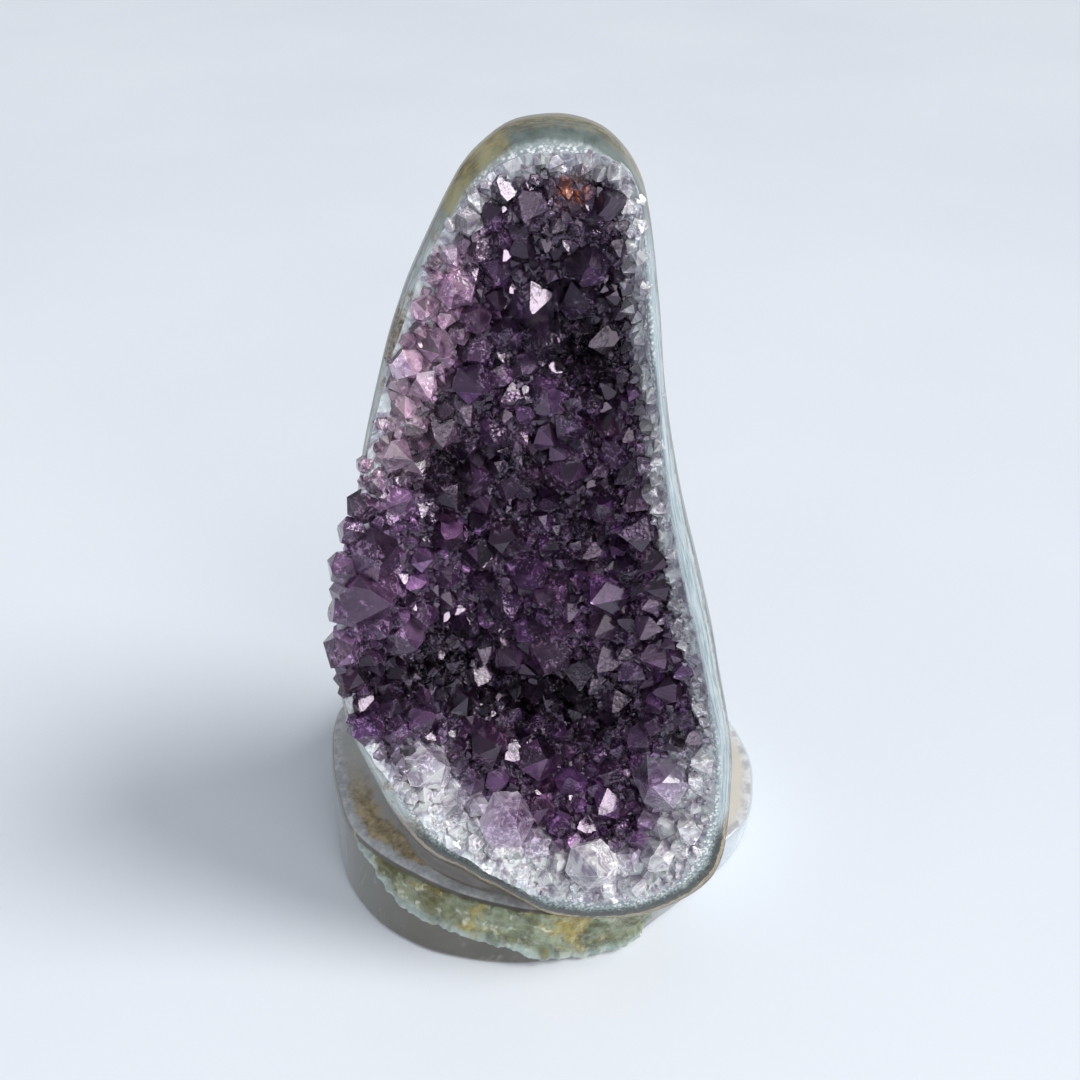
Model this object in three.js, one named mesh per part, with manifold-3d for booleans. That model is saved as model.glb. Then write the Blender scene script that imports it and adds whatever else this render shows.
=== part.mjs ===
// Amethyst geode on a polished agate base, three.js, millimetres, +Z up.
// The origin is the centre of the bounding box at the surface the base stands on.
//
// agate_shell    the geode's rind: cut flat underneath, an open bowl in front
// crystal_druze  the intergrown amethyst and white quartz lining of the bowl
// agate_base     the thick polished slice the geode stands on
import * as THREE from 'three';
import * as BufferGeometryUtils from 'three/addons/utils/BufferGeometryUtils.js';
import Module from 'manifold-3d';

const wasm = await Module();
wasm.setup();

// ---------------------------------------------------------------- dimensions
const BASE_HEIGHT = 20.0;        // thickness of the agate base
const BASE_EDGE = 1.2;           // its polished edge radius
const PATCH_BULGE = 1.0;         // rough natural patch standing out of the front wall
const STONE_GAP = 0.3;           // geode's cut base above the agate base
const CRUST_GAP = 0.7;           // between the rind and the crystal crust
const FACE_TILT = 14.0;          // degrees the open face leans back
const FACE_ORIGIN = [0, -1.5, 22.0];
const FACE_CENTRE = [2.0, 72.0]; // centre of the open face, face coordinates
const DOME_DEPTH_LOW = 68.0;     // rind behind the face, lower half
const DOME_DEPTH_TOP = 30.0;     // and at the crown
const DOME_POWER = 2.4;
const CRUST = 3.2;               // crystal crust thickness under the crystals
const DOME_SHEAR = 0.25;         // how far the rind's axis drops back to level, lower half
const SKIN_BULGE = 8.0;          // flank standing out below the rim, lower left
const SKIN_CENTRE = [-19, 11];

// outer edge of the polished rim, face coordinates u (right), v (up)
const RIM = [
  [2.1, -0.8], [8.0, -2.2], [14.1, -2.6], [20.1, -2.1], [26.0, -0.6], [31.5, 2.0], [36.5, 5.5], [40.4, 10.1],
  [42.4, 15.9], [43.0, 21.9], [43.2, 28.0], [43.2, 34.1], [43.1, 40.2], [42.5, 46.3], [41.4, 52.3], [40.1, 58.2],
  [38.8, 64.2], [37.6, 70.2], [36.3, 76.1], [34.8, 82.0], [33.3, 87.9], [31.7, 93.8], [30.1, 99.7], [28.6, 105.6],
  [27.3, 111.6], [26.1, 117.5], [25.1, 123.5], [24.2, 129.6], [23.6, 135.6], [23.0, 141.7], [22.2, 147.7], [21.4, 153.8],
  [20.5, 159.8], [19.1, 165.7], [16.4, 170.6], [12.2, 174.6], [6.7, 176.7], [0.7, 177.0], [-5.3, 175.9], [-10.3, 172.7],
  [-14.2, 168.9], [-17.4, 163.7], [-20.2, 158.3], [-22.9, 152.8], [-25.5, 147.3], [-27.7, 141.7], [-29.7, 135.9], [-31.4, 130.0],
  [-33.0, 124.2], [-34.6, 118.3], [-36.1, 112.4], [-37.3, 106.4], [-38.6, 100.4], [-40.4, 94.6], [-42.0, 88.7], [-43.1, 82.7],
  [-44.0, 76.7], [-44.5, 70.6], [-44.8, 64.5], [-44.6, 58.5], [-43.6, 52.5], [-41.5, 46.7], [-39.0, 41.2], [-36.7, 35.5],
  [-34.4, 29.9], [-31.5, 24.5], [-28.1, 19.5], [-23.7, 15.4], [-18.3, 12.4], [-13.4, 8.8], [-8.2, 5.7], [-3.2, 2.2],
];
// inner edge of the rim, where the crystals begin, on the same rays
const LIP = [
  [2.1, 6.4], [7.4, 5.6], [12.8, 5.2], [18.3, 5.3], [23.8, 6.2], [28.8, 8.5], [32.9, 12.4], [35.9, 17.5],
  [37.5, 22.7], [38.5, 27.5], [39.2, 32.3], [39.5, 37.6], [39.2, 43.2], [38.5, 48.9], [37.6, 54.2], [36.4, 59.6],
  [35.2, 65.0], [33.9, 70.4], [32.5, 75.7], [31.1, 80.9], [29.7, 86.1], [28.4, 91.4], [27.3, 96.9], [26.2, 102.5],
  [25.3, 108.4], [24.4, 114.2], [23.6, 120.3], [23.0, 126.4], [22.2, 131.6], [21.3, 136.2], [20.7, 141.9], [20.0, 148.0],
  [19.5, 155.1], [18.5, 162.6], [16.0, 167.8], [11.8, 170.2], [6.4, 170.9], [0.7, 170.9], [-4.8, 170.0], [-9.5, 167.4],
  [-13.3, 163.4], [-16.5, 159.6], [-19.4, 155.2], [-22.1, 150.2], [-24.4, 144.3], [-26.5, 138.8], [-28.6, 133.7], [-30.3, 128.0],
  [-32.0, 122.6], [-33.6, 116.9], [-35.0, 111.1], [-36.2, 105.5], [-37.7, 99.8], [-39.3, 94.0], [-40.7, 88.2], [-41.7, 82.4],
  [-42.4, 76.5], [-42.8, 70.7], [-42.8, 64.9], [-42.6, 59.0], [-41.5, 53.3], [-39.2, 48.1], [-36.4, 43.1], [-33.7, 38.3],
  [-31.2, 33.6], [-28.3, 29.1], [-25.1, 24.7], [-21.3, 20.5], [-16.7, 17.2], [-12.2, 14.1], [-7.4, 10.9], [-2.7, 8.2],
];
// swells and hollows of the crystal bed: u, v, spread u, spread v, height
const BED_WAVES = [
  [11.5, 133, 8, 7, -5], [4.3, 50, 17, 9, -6], [-30, 64, 12, 7, -4], [-21, 113, 7, 5, -3],
  [-40, 81, 10, 20, 6], [0, 122, 12, 9, 3], [12.8, 72, 12, 10, 3], [11, 14, 18, 6, 2],
];
// the large crystals: u, v, radius, and how far the axis leans along u and v where it matters
const LARGE_CRYSTALS = [
  [7.6, 144.3, 4.6], [1.0, 137.4, 5.4], [-6.7, 137.7, 3.9], [1.0, 125.5, 5.3], [-16.0, 146.7, 4.1], [9.4, 151.2, 4.7],
  [12.8, 162.2, 3.6], [-7.4, 155.9, 3.3], [-20.1, 136.2, 4.2], [-25.9, 132.6, 3.8], [-27.3, 123.5, 3.5], [-13.1, 81.2, 4.8],
  [-7.7, 74.5, 6.0], [-2.2, 83.2, 4.4], [14.1, 78.8, 6.5], [23.7, 73.4, 4.3], [2.3, 62.1, 6.1], [14.7, 61.9, 5.6],
  [-34.5, 92.9, 6.1], [-35.9, 84.2, 7.2], [-30.4, 70.5, 4.8], [28.7, 33.2, 7.3], [26.3, 46.5, 4.1], [36.8, 41.4, 4.0],
  [-25.9, 38.8, 6.3], [-11.6, 39.6, 5.8], [-1.2, 35.4, 5.6], [7.0, 31.0, 4.7], [-8.1, 23.7, 6.9], [11.6, 13.6, 6.5],
  [27.7, 16.3, 4.6], [34.3, 23.3, 3.7], [-20.5, 28.8, 3.2], [4.6, 21.7, 3.7],
  [-38.2, 98.6, 3.4, -0.5, 0.3], [-39.8, 90.6, 3.8, -0.6, 0.2], [-41.0, 81.0, 4.4, -0.7, 0], [-41.4, 71.6, 4.2, -0.7, 0],
  [-41.0, 62.8, 3.8, -0.6, -0.1], [-39.4, 55.6, 3.2, -0.4, -0.2],
];
const FILL_SPACING = 8.6;        // smaller crystals between the large ones
const FILL_RADIUS = [3.6, 5.8];
const FINEST_EDGE = 0.15;        // slivers shorter than this are joined up
const PYRAMID = 1.27 * Math.cos(Math.PI / 6); // quartz point height over its radius

// outline of the agate base, x and y before centring: top face and underside
const BASE_TOP = [
  [-20, 5.9], [-9.6, 2.6], [0, 0.8], [12, 1.6], [24, 5.4], [36, 12.6], [48.4, 23.1], [54.7, 31.2], [57.5, 44.4],
  [57.2, 54], [53.9, 65.5], [48, 78], [38, 90], [24, 99.5], [6, 104], [-12, 104], [-28, 99.5], [-42, 91],
  [-52, 80], [-57.4, 71], [-58.6, 62], [-57.4, 51.7], [-55.0, 42], [-49.5, 27.3], [-41, 18.2], [-30, 11],
];
const BASE_UNDER = [
  [-20, 1.6], [-10, 0.2], [-2.5, 0.2], [10, 2.2], [20.2, 5.4], [31, 13.9], [42.4, 23.6], [52, 33.2], [58, 44.4],
  [59.3, 54], [56, 66.5], [49.5, 79], [39, 90.5], [24.5, 99.5], [6, 103.6], [-12, 103.4], [-27.5, 98.8], [-41, 90],
  [-50, 79], [-55, 70], [-56.6, 61], [-55.8, 50.5], [-55.2, 38.5], [-50.5, 23.9], [-41.5, 12], [-30, 4.6],
];
const BASE_SEGMENTS = 72;
const PATCH_SPAN = [-46, 27];    // x range of the rough patch on the front wall

// ------------------------------------------------------------------- helpers
const rad = Math.PI / 180;
const U = new THREE.Vector3(1, 0, 0);
const V = new THREE.Vector3(0, Math.sin(FACE_TILT * rad), Math.cos(FACE_TILT * rad));
const W = new THREE.Vector3(0, -Math.cos(FACE_TILT * rad), Math.sin(FACE_TILT * rad));
const toWorld = (u, v, w) => new THREE.Vector3(...FACE_ORIGIN)
  .addScaledVector(U, u).addScaledVector(V, v).addScaledVector(W, w);
const step = (x, a, b) => { const t = Math.min(1, Math.max(0, (x - a) / (b - a))); return t * t * (3 - 2 * t); };
const mix = (a, b, t) => a + (b - a) * t;

let seed = 20317;
const random = () => { seed = (seed * 1103515245 + 12345) % 2147483648; return seed / 2147483648; };

// closed solid from rings of points: the first ring's fan closes one end, the last ring's the other
function ringSolid(rings, startPoint, endPoint) {
  const n = rings[0].length, pos = [], index = [];
  rings.forEach((ring) => ring.forEach((p) => pos.push(p.x, p.y, p.z)));
  pos.push(startPoint.x, startPoint.y, startPoint.z, endPoint.x, endPoint.y, endPoint.z);
  const a = rings.length * n, b = a + 1;
  for (let i = 0; i < n; i++) {
    const j = (i + 1) % n;
    index.push(a, i, j);
    for (let k = 0; k + 1 < rings.length; k++) {
      const p = k * n + i, q = k * n + j, r = p + n, s = q + n;
      index.push(p, r, q, q, r, s);
    }
    const m = (rings.length - 1) * n;
    index.push(b, m + j, m + i);
  }
  const g = new THREE.BufferGeometry();
  g.setAttribute('position', new THREE.Float32BufferAttribute(pos, 3));
  g.setIndex(index);
  return g;
}

function signedVolume(g) {
  const p = g.attributes.position, ix = g.index, a = new THREE.Vector3(), b = new THREE.Vector3(), c = new THREE.Vector3();
  let v = 0;
  for (let i = 0; i < ix.count; i += 3) {
    a.fromBufferAttribute(p, ix.getX(i)); b.fromBufferAttribute(p, ix.getX(i + 1)); c.fromBufferAttribute(p, ix.getX(i + 2));
    v += a.dot(b.cross(c)) / 6;
  }
  return v;
}

function outward(g) {
  if (signedVolume(g) < 0) {
    const ix = g.index.array;
    for (let i = 0; i < ix.length; i += 3) { const t = ix[i]; ix[i] = ix[i + 1]; ix[i + 1] = t; }
  }
  return g;
}

function solid(geometry) {
  const g = geometry.clone();
  g.deleteAttribute('normal');
  g.deleteAttribute('uv');
  const merged = outward(BufferGeometryUtils.mergeVertices(g, 1e-4));
  return new wasm.Manifold(new wasm.Mesh({
    numProp: 3,
    vertProperties: new Float32Array(merged.attributes.position.array),
    triVerts: new Uint32Array(merged.index.array),
  }));
}

function geometryOf(manifold) {
  const m = manifold.getMesh();
  const g = new THREE.BufferGeometry();
  g.setAttribute('position', new THREE.Float32BufferAttribute(m.vertProperties, 3));
  g.setIndex(Array.from(m.triVerts));
  return g;
}

const largest = (manifold) => manifold.decompose().reduce((a, b) => (a.volume() > b.volume() ? a : b));

function closedCurve(points, count) {
  const c = new THREE.CatmullRomCurve3(points.map(([x, y]) => new THREE.Vector3(x, y, 0)), true, 'catmullrom', 0.5);
  return Array.from({ length: count }, (_, i) => c.getPoint(i / count));
}

// ------------------------------------------------------------ face functions
const SEG = RIM.length;
const leftBulge = (u, v) => step(-u, 10, 34) * step(v, 40, 60) * (1 - step(v, 100, 125));
const rimHeight = (u, v) => -1.5 - 7.0 * step(v, 150, 178) - 4.5 * leftBulge(u, v);
const lipHeight = (u, v) => 0.8 - 2.5 * step(v, 150, 172) - 3.0 * leftBulge(u, v);
const domeDepth = (v) => DOME_DEPTH_TOP + (DOME_DEPTH_LOW - DOME_DEPTH_TOP) * (1 - step(v, 60, 185));
const skinBulge = (u, v) => 0.5 + SKIN_BULGE * Math.exp(-((u - SKIN_CENTRE[0]) ** 2 + (v - SKIN_CENTRE[1]) ** 2) / 240);

const lipRays = LIP.map(([u, v]) => ({ t: Math.atan2(v - FACE_CENTRE[1], u - FACE_CENTRE[0]), r: Math.hypot(u - FACE_CENTRE[0], v - FACE_CENTRE[1]) }))
  .sort((a, b) => a.t - b.t);
function lipRadius(t) {
  const n = lipRays.length;
  for (let i = 0; i < n; i++) {
    const a = lipRays[i], b = lipRays[(i + 1) % n];
    const tb = i + 1 < n ? b.t : b.t + 2 * Math.PI;
    const tt = t < lipRays[0].t ? t + 2 * Math.PI : t;
    if (tt >= a.t && tt <= tb) return mix(a.r, b.r, (tt - a.t) / (tb - a.t));
  }
  return lipRays[0].r;
}
const rhoOf = (u, v) => Math.hypot(u - FACE_CENTRE[0], v - FACE_CENTRE[1])
  / lipRadius(Math.atan2(v - FACE_CENTRE[1], u - FACE_CENTRE[0]));

// height of the crystal bed over the face plane
function bedHeight(u, v, rho) {
  const r = Math.min(1, rho);
  let w = -(6 + 9 * (1 - step(v, 60, 170))) * (1 - r ** 2.2) + lipHeight(u, v) * r ** 6;
  for (const [a, b, c, d, h] of BED_WAVES) w += h * Math.exp(-((u - a) ** 2 / (2 * c * c) + (v - b) ** 2 / (2 * d * d)));
  return w;
}
// floor of the bowl cut into the rind; it meets the lip at rho = 1
function bowlHeight(u, v, rho) {
  const under = bedHeight(u, v, rho) - CRUST;
  return mix(under, lipHeight(u, v), step(rho, 0.9, 1));
}
function bedNormal(u, v) {
  const e = 2.5, h = (a, b) => bedHeight(a, b, Math.min(1, rhoOf(a, b)));
  return new THREE.Vector3(-(h(u + e, v) - h(u - e, v)) / (2 * e), -(h(u, v + e) - h(u, v - e)) / (2 * e), 1).normalize();
}

// -------------------------------------------------------------- agate shell
function bowlRings(shift) {
  const rows = [0.3, 0.6, 0.82, 0.93, 1];
  return rows.map((rho) => LIP.map(([lu, lv]) => {
    const u = mix(FACE_CENTRE[0], lu, rho), v = mix(FACE_CENTRE[1], lv, rho);
    return [u, v, bowlHeight(u, v, rho) + shift];
  }));
}

function shellGeometry() {
  const rings = bowlRings(0).map((ring) => ring.map(([u, v, w]) => toWorld(u, v, w)));
  const dir = RIM.map(([u, v], i) => {
    const [au, av] = RIM[(i + SEG - 1) % SEG], [bu, bv] = RIM[(i + 1) % SEG];
    const l = Math.hypot(bu - au, bv - av);
    return [(bv - av) / l, -(bu - au) / l];
  });
  const band = (t, dw) => LIP.map(([lu, lv], i) => {
    const [ru, rv] = RIM[i];
    return toWorld(mix(lu, ru, t), mix(lv, rv, t), mix(lipHeight(lu, lv), rimHeight(ru, rv), t) + dw);
  });
  rings.push(band(0.6, 0.35), band(0.88, 0.2));
  const flank = (grow, drop) => RIM.map(([ru, rv], i) => {
    const b = skinBulge(ru, rv) * grow;
    return [ru + dir[i][0] * b, rv + dir[i][1] * b, rimHeight(ru, rv) - drop];
  });
  rings.push(flank(0, 0.9).map((p) => toWorld(...p)));
  rings.push(flank(0.7, 3).map((p) => toWorld(...p)));
  const side = flank(1, 6.5);
  rings.push(side.map((p) => toWorld(...p)));
  const dome = (u, v, w, rho) => {
    const f = Math.sqrt(1 - rho ** DOME_POWER);
    const a = mix(FACE_CENTRE[0], u, rho), b = mix(FACE_CENTRE[1], v, rho);
    const d = mix(w, -domeDepth(b), f);
    return toWorld(a, b + DOME_SHEAR * (1 - step(b, 60, 130)) * (d - w), d);
  };
  for (const rho of [0.985, 0.95, 0.89, 0.8, 0.68, 0.5, 0.28]) rings.push(side.map(([u, v, w]) => dome(u, v, w, rho)));
  const [cu, cv] = FACE_CENTRE;
  return ringSolid(rings, toWorld(cu, cv, bowlHeight(cu, cv, 0)), dome(cu, cv, -9, 0));
}

function boxAbove(z) {
  const g = new THREE.BoxGeometry(400, 400, 400);
  g.translate(0, 50, z + 200);
  return g;
}

const shellRaw = solid(shellGeometry());
const shell = largest(shellRaw.intersect(solid(boxAbove(BASE_HEIGHT + STONE_GAP))));

// ------------------------------------------------------------ crystal druze
// what the crust must stay out of: the rind's front surface grown by the gap
function clearance() {
  const grid = bowlRings(0);
  const n = SEG, m = grid.length;
  const pts = grid.map((ring) => ring.map(([u, v, w]) => new THREE.Vector3(u, v, w)));
  const outer = (t, w0) => LIP.map(([lu, lv], i) => {
    const [ru, rv] = RIM[i];
    return new THREE.Vector3(mix(lu, ru, t), mix(lv, rv, t), mix(lipHeight(lu, lv), rimHeight(ru, rv), t) + w0);
  });
  pts.push(outer(0.6, 0.35), outer(0.88, 0.2));
  const lifted = pts.map((ring, k) => ring.map((p, i) => {
    const q = pts[Math.min(k + 1, pts.length - 1)][i], o = pts[Math.max(k - 1, 0)][i];
    const s = ring[(i + 1) % n], r = ring[(i + n - 1) % n];
    const nrm = new THREE.Vector3().subVectors(q, o).cross(new THREE.Vector3().subVectors(s, r)).normalize();
    if (nrm.z < 0) nrm.negate();
    return p.clone().addScaledVector(nrm, CRUST_GAP);
  }));
  const rings = lifted.map((ring) => ring.map((p) => toWorld(p.x, p.y, p.z)));
  for (const [grow, drop] of [[CRUST_GAP, 0], [CRUST_GAP, 3], [CRUST_GAP + 0.3, 8]]) {
    rings.push(RIM.map(([ru, rv], i) => {
      const [au, av] = RIM[(i + SEG - 1) % SEG], [bu, bv] = RIM[(i + 1) % SEG];
      const l = Math.hypot(bu - au, bv - av), b = grow + (drop ? skinBulge(ru, rv) * Math.min(1, drop / 4) : 0.15);
      return toWorld(ru + (bv - av) / l * b, rv - (bu - au) / l * b, rimHeight(ru, rv) - drop + (drop ? 0 : -0.2));
    }));
  }
  const [cu, cv] = FACE_CENTRE;
  return ringSolid(rings, toWorld(cu, cv, bowlHeight(cu, cv, 0) + CRUST_GAP), toWorld(cu, cv, -45));
}

function crustGeometry() {
  const rings = [];
  const edge = LIP.filter((_, i) => i % 2 === 0);
  for (const rho of [0.3, 0.55, 0.76, 0.9, 1]) {
    rings.push(edge.map(([lu, lv]) => {
      const u = mix(FACE_CENTRE[0], lu, rho), v = mix(FACE_CENTRE[1], lv, rho);
      return toWorld(u, v, bedHeight(u, v, rho) + 0.4);
    }));
  }
  rings.push(edge.map(([lu, lv]) => toWorld(mix(FACE_CENTRE[0], lu, 1.012), mix(FACE_CENTRE[1], lv, 1.012), lipHeight(lu, lv) - 3)));
  rings.push(edge.map(([lu, lv]) => toWorld(mix(FACE_CENTRE[0], lu, 0.9), mix(FACE_CENTRE[1], lv, 0.9), -20)));
  const [cu, cv] = FACE_CENTRE;
  return ringSolid(rings, toWorld(cu, cv, bedHeight(cu, cv, 0) + 0.4), toWorld(cu, cv, -30));
}

// a six-sided quartz crystal: prism with a pyramid point, standing on +Z
function crystalGeometry(radius, prism) {
  const profile = [[0, 0], [radius * 0.86, 0], [radius, prism], [0, prism + radius * PYRAMID]];
  const g = new THREE.LatheGeometry(profile.map(([x, y]) => new THREE.Vector2(x, y)), 6);
  g.rotateX(Math.PI / 2);
  return g;
}

function placed(u, v, radius, stand, lean, twist) {
  const rho = rhoOf(u, v);
  const n = bedNormal(u, v);
  n.x += lean[0]; n.y += lean[1];
  n.normalize();
  const axis = new THREE.Vector3().addScaledVector(U, n.x).addScaledVector(V, n.y).addScaledVector(W, n.z);
  const depth = 2.6 + radius * 0.35;
  const root = toWorld(u, v, bedHeight(u, v, rho)).addScaledVector(axis, -depth);
  const g = crystalGeometry(radius, depth + stand);
  g.rotateZ(twist);
  g.applyQuaternion(new THREE.Quaternion().setFromUnitVectors(new THREE.Vector3(0, 0, 1), axis));
  g.translate(root.x, root.y, root.z);
  return solid(g);
}

const crystals = [];
const taken = [];
for (const [u, v, r, leanU, leanV] of LARGE_CRYSTALS) {
  const lean = leanU === undefined ? [(random() - 0.5) * 0.5, (random() - 0.5) * 0.5 + 0.12] : [leanU, leanV];
  crystals.push(placed(u, v, r, r * mix(0.05, 0.4, random()), lean, random() * Math.PI / 3));
  taken.push([u, v, r]);
}
for (let tries = 0; tries < 6000; tries++) {
  const u = mix(-44, 42, random()), v = mix(4, 172, random()), rho = rhoOf(u, v);
  const r = mix(FILL_RADIUS[0], FILL_RADIUS[1], random());
  const left = leftBulge(u, v) > 0.6 && u < -30;
  if (rho > (left ? 1.0 : 1 - (r * 0.8) / lipRadius(Math.atan2(v - FACE_CENTRE[1], u - FACE_CENTRE[0])))) continue;
  if (taken.some(([a, b, c]) => Math.hypot(a - u, b - v) < Math.max(FILL_SPACING * 0.8, (c + r) * 0.8))) continue;
  const lean = [(random() - 0.5) * 0.7, (random() - 0.5) * 0.7 + 0.1];
  if (!left) { // towards the middle near the rim
    const pull = 0.5 * step(rho, 0.6, 1) / Math.hypot(u - FACE_CENTRE[0], v - FACE_CENTRE[1]);
    lean[0] -= (u - FACE_CENTRE[0]) * pull;
    lean[1] -= (v - FACE_CENTRE[1]) * pull;
  }
  crystals.push(placed(u, v, r, r * mix(-0.1, 0.35, random()) - 1.2 * step(v, 150, 165), lean, random() * Math.PI / 3));
  taken.push([u, v, r]);
}

let druze = solid(crustGeometry());
for (const c of crystals) druze = druze.add(c);
druze = largest(druze.subtract(solid(clearance())).simplify(FINEST_EDGE));

// --------------------------------------------------------------- agate base
function baseGeometry() {
  const top = closedCurve(BASE_TOP, BASE_SEGMENTS), under = closedCurve(BASE_UNDER, BASE_SEGMENTS);
  const centre = new THREE.Vector3(0, 52, 0);
  const ring = (t, inset, z, bulge) => top.map((p, i) => {
    const q = under[i].clone().lerp(p, t);
    const out = q.clone().sub(centre).setZ(0).normalize();
    const inPatch = step(q.x, PATCH_SPAN[0], PATCH_SPAN[0] + 8) * (1 - step(q.x, PATCH_SPAN[1] - 4, PATCH_SPAN[1] + 4)) * (q.y < 40 ? 1 : 0);
    q.addScaledVector(out, bulge * inPatch - inset);
    return q.setZ(z);
  });
  const rings = [
    ring(0, BASE_EDGE, 0, 0),
    ring(0.05, 0.2, BASE_EDGE * 0.6, 0),
    ring(0.25, 0, 5, PATCH_BULGE * 0.4),
    ring(0.55, 0, 11, PATCH_BULGE),
    ring(0.85, 0, 17, PATCH_BULGE * 0.7),
    ring(0.97, 0.15, BASE_HEIGHT - BASE_EDGE * 0.7, PATCH_BULGE * 0.2),
    ring(1, BASE_EDGE * 0.35, BASE_HEIGHT - BASE_EDGE * 0.25, 0),
    ring(1, BASE_EDGE, BASE_HEIGHT, 0),
  ];
  return ringSolid(rings, new THREE.Vector3(0, 52, 0), new THREE.Vector3(0, 52, BASE_HEIGHT));
}
const base = solid(baseGeometry());

// ------------------------------------------------------------------ assembly
const pieces = [
  ['agate_shell', shell, new THREE.MeshStandardMaterial({ color: 0xa9b3b4, roughness: 0.3, metalness: 0 })],
  ['crystal_druze', druze, new THREE.MeshStandardMaterial({ color: 0x5a4468, roughness: 0.2, metalness: 0, flatShading: true })],
  ['agate_base', base, new THREE.MeshStandardMaterial({ color: 0x9fa19a, roughness: 0.25, metalness: 0 })],
];

const group = new THREE.Group();
const bounds = new THREE.Box3();
for (const [name, manifold, material] of pieces) {
  const mesh = new THREE.Mesh(geometryOf(manifold), material);
  mesh.name = name;
  bounds.expandByObject(mesh);
  group.add(mesh);
}
// centre the footprint over the origin
group.position.set(-(bounds.min.x + bounds.max.x) / 2, -(bounds.min.y + bounds.max.y) / 2, -bounds.min.z);
group.updateMatrixWorld(true);

export default group;
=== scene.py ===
import math
import bpy
import numpy as np
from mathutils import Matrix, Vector, noise

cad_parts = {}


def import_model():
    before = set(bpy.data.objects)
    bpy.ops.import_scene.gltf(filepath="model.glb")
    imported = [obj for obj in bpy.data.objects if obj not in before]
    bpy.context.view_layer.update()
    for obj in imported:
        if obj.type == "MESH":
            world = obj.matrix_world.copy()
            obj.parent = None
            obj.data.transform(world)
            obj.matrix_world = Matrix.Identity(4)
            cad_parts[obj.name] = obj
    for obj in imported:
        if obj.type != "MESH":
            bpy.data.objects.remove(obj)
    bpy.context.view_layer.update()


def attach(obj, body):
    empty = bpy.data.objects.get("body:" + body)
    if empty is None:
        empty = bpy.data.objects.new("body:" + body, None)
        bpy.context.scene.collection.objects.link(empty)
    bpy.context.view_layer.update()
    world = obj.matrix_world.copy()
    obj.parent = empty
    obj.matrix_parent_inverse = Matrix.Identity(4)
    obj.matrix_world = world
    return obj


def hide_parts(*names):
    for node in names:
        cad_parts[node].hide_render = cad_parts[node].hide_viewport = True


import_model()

# ------------------------------------------------------------------ dimensions (mm)
MM = 0.001
OFFSET = np.array([-0.3558, -49.9309, 0.0])      # the CAD model's centring
BASE_H, BASE_EDGE, STONE_GAP = 20.0, 1.2, 0.3
TILT = math.radians(14.0)
FACE_O = np.array([0.0, -1.5, 22.0])
FC = np.array([2.0, 72.0])
DOME_LOW, DOME_TOP, DOME_POW, DOME_SHEAR = 68.0, 30.0, 2.4, 0.25
CRUST = 3.2
U = np.array([1.0, 0.0, 0.0])
V = np.array([0.0, math.sin(TILT), math.cos(TILT)])
W = np.array([0.0, -math.cos(TILT), math.sin(TILT)])

RIM = np.array([
    [2.1, -0.8], [8.0, -2.2], [14.1, -2.6], [20.1, -2.1], [26.0, -0.6], [31.5, 2.0], [36.5, 5.5], [40.4, 10.1],
    [42.4, 15.9], [43.0, 21.9], [43.2, 28.0], [43.2, 34.1], [43.1, 40.2], [42.5, 46.3], [41.4, 52.3], [40.1, 58.2],
    [38.8, 64.2], [37.6, 70.2], [36.3, 76.1], [34.8, 82.0], [33.3, 87.9], [31.7, 93.8], [30.1, 99.7], [28.6, 105.6],
    [27.3, 111.6], [26.1, 117.5], [25.1, 123.5], [24.2, 129.6], [23.6, 135.6], [23.0, 141.7], [22.2, 147.7], [21.4, 153.8],
    [20.5, 159.8], [19.1, 165.7], [16.4, 170.6], [12.2, 174.6], [6.7, 176.7], [0.7, 177.0], [-5.3, 175.9], [-10.3, 172.7],
    [-14.2, 168.9], [-17.4, 163.7], [-20.2, 158.3], [-22.9, 152.8], [-25.5, 147.3], [-27.7, 141.7], [-29.7, 135.9], [-31.4, 130.0],
    [-33.0, 124.2], [-34.6, 118.3], [-36.1, 112.4], [-37.3, 106.4], [-38.6, 100.4], [-40.4, 94.6], [-42.0, 88.7], [-43.1, 82.7],
    [-44.0, 76.7], [-44.5, 70.6], [-44.8, 64.5], [-44.6, 58.5], [-43.6, 52.5], [-41.5, 46.7], [-39.0, 41.2], [-36.7, 35.5],
    [-34.4, 29.9], [-31.5, 24.5], [-28.1, 19.5], [-23.7, 15.4], [-18.3, 12.4], [-13.4, 8.8], [-8.2, 5.7], [-3.2, 2.2]])
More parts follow.
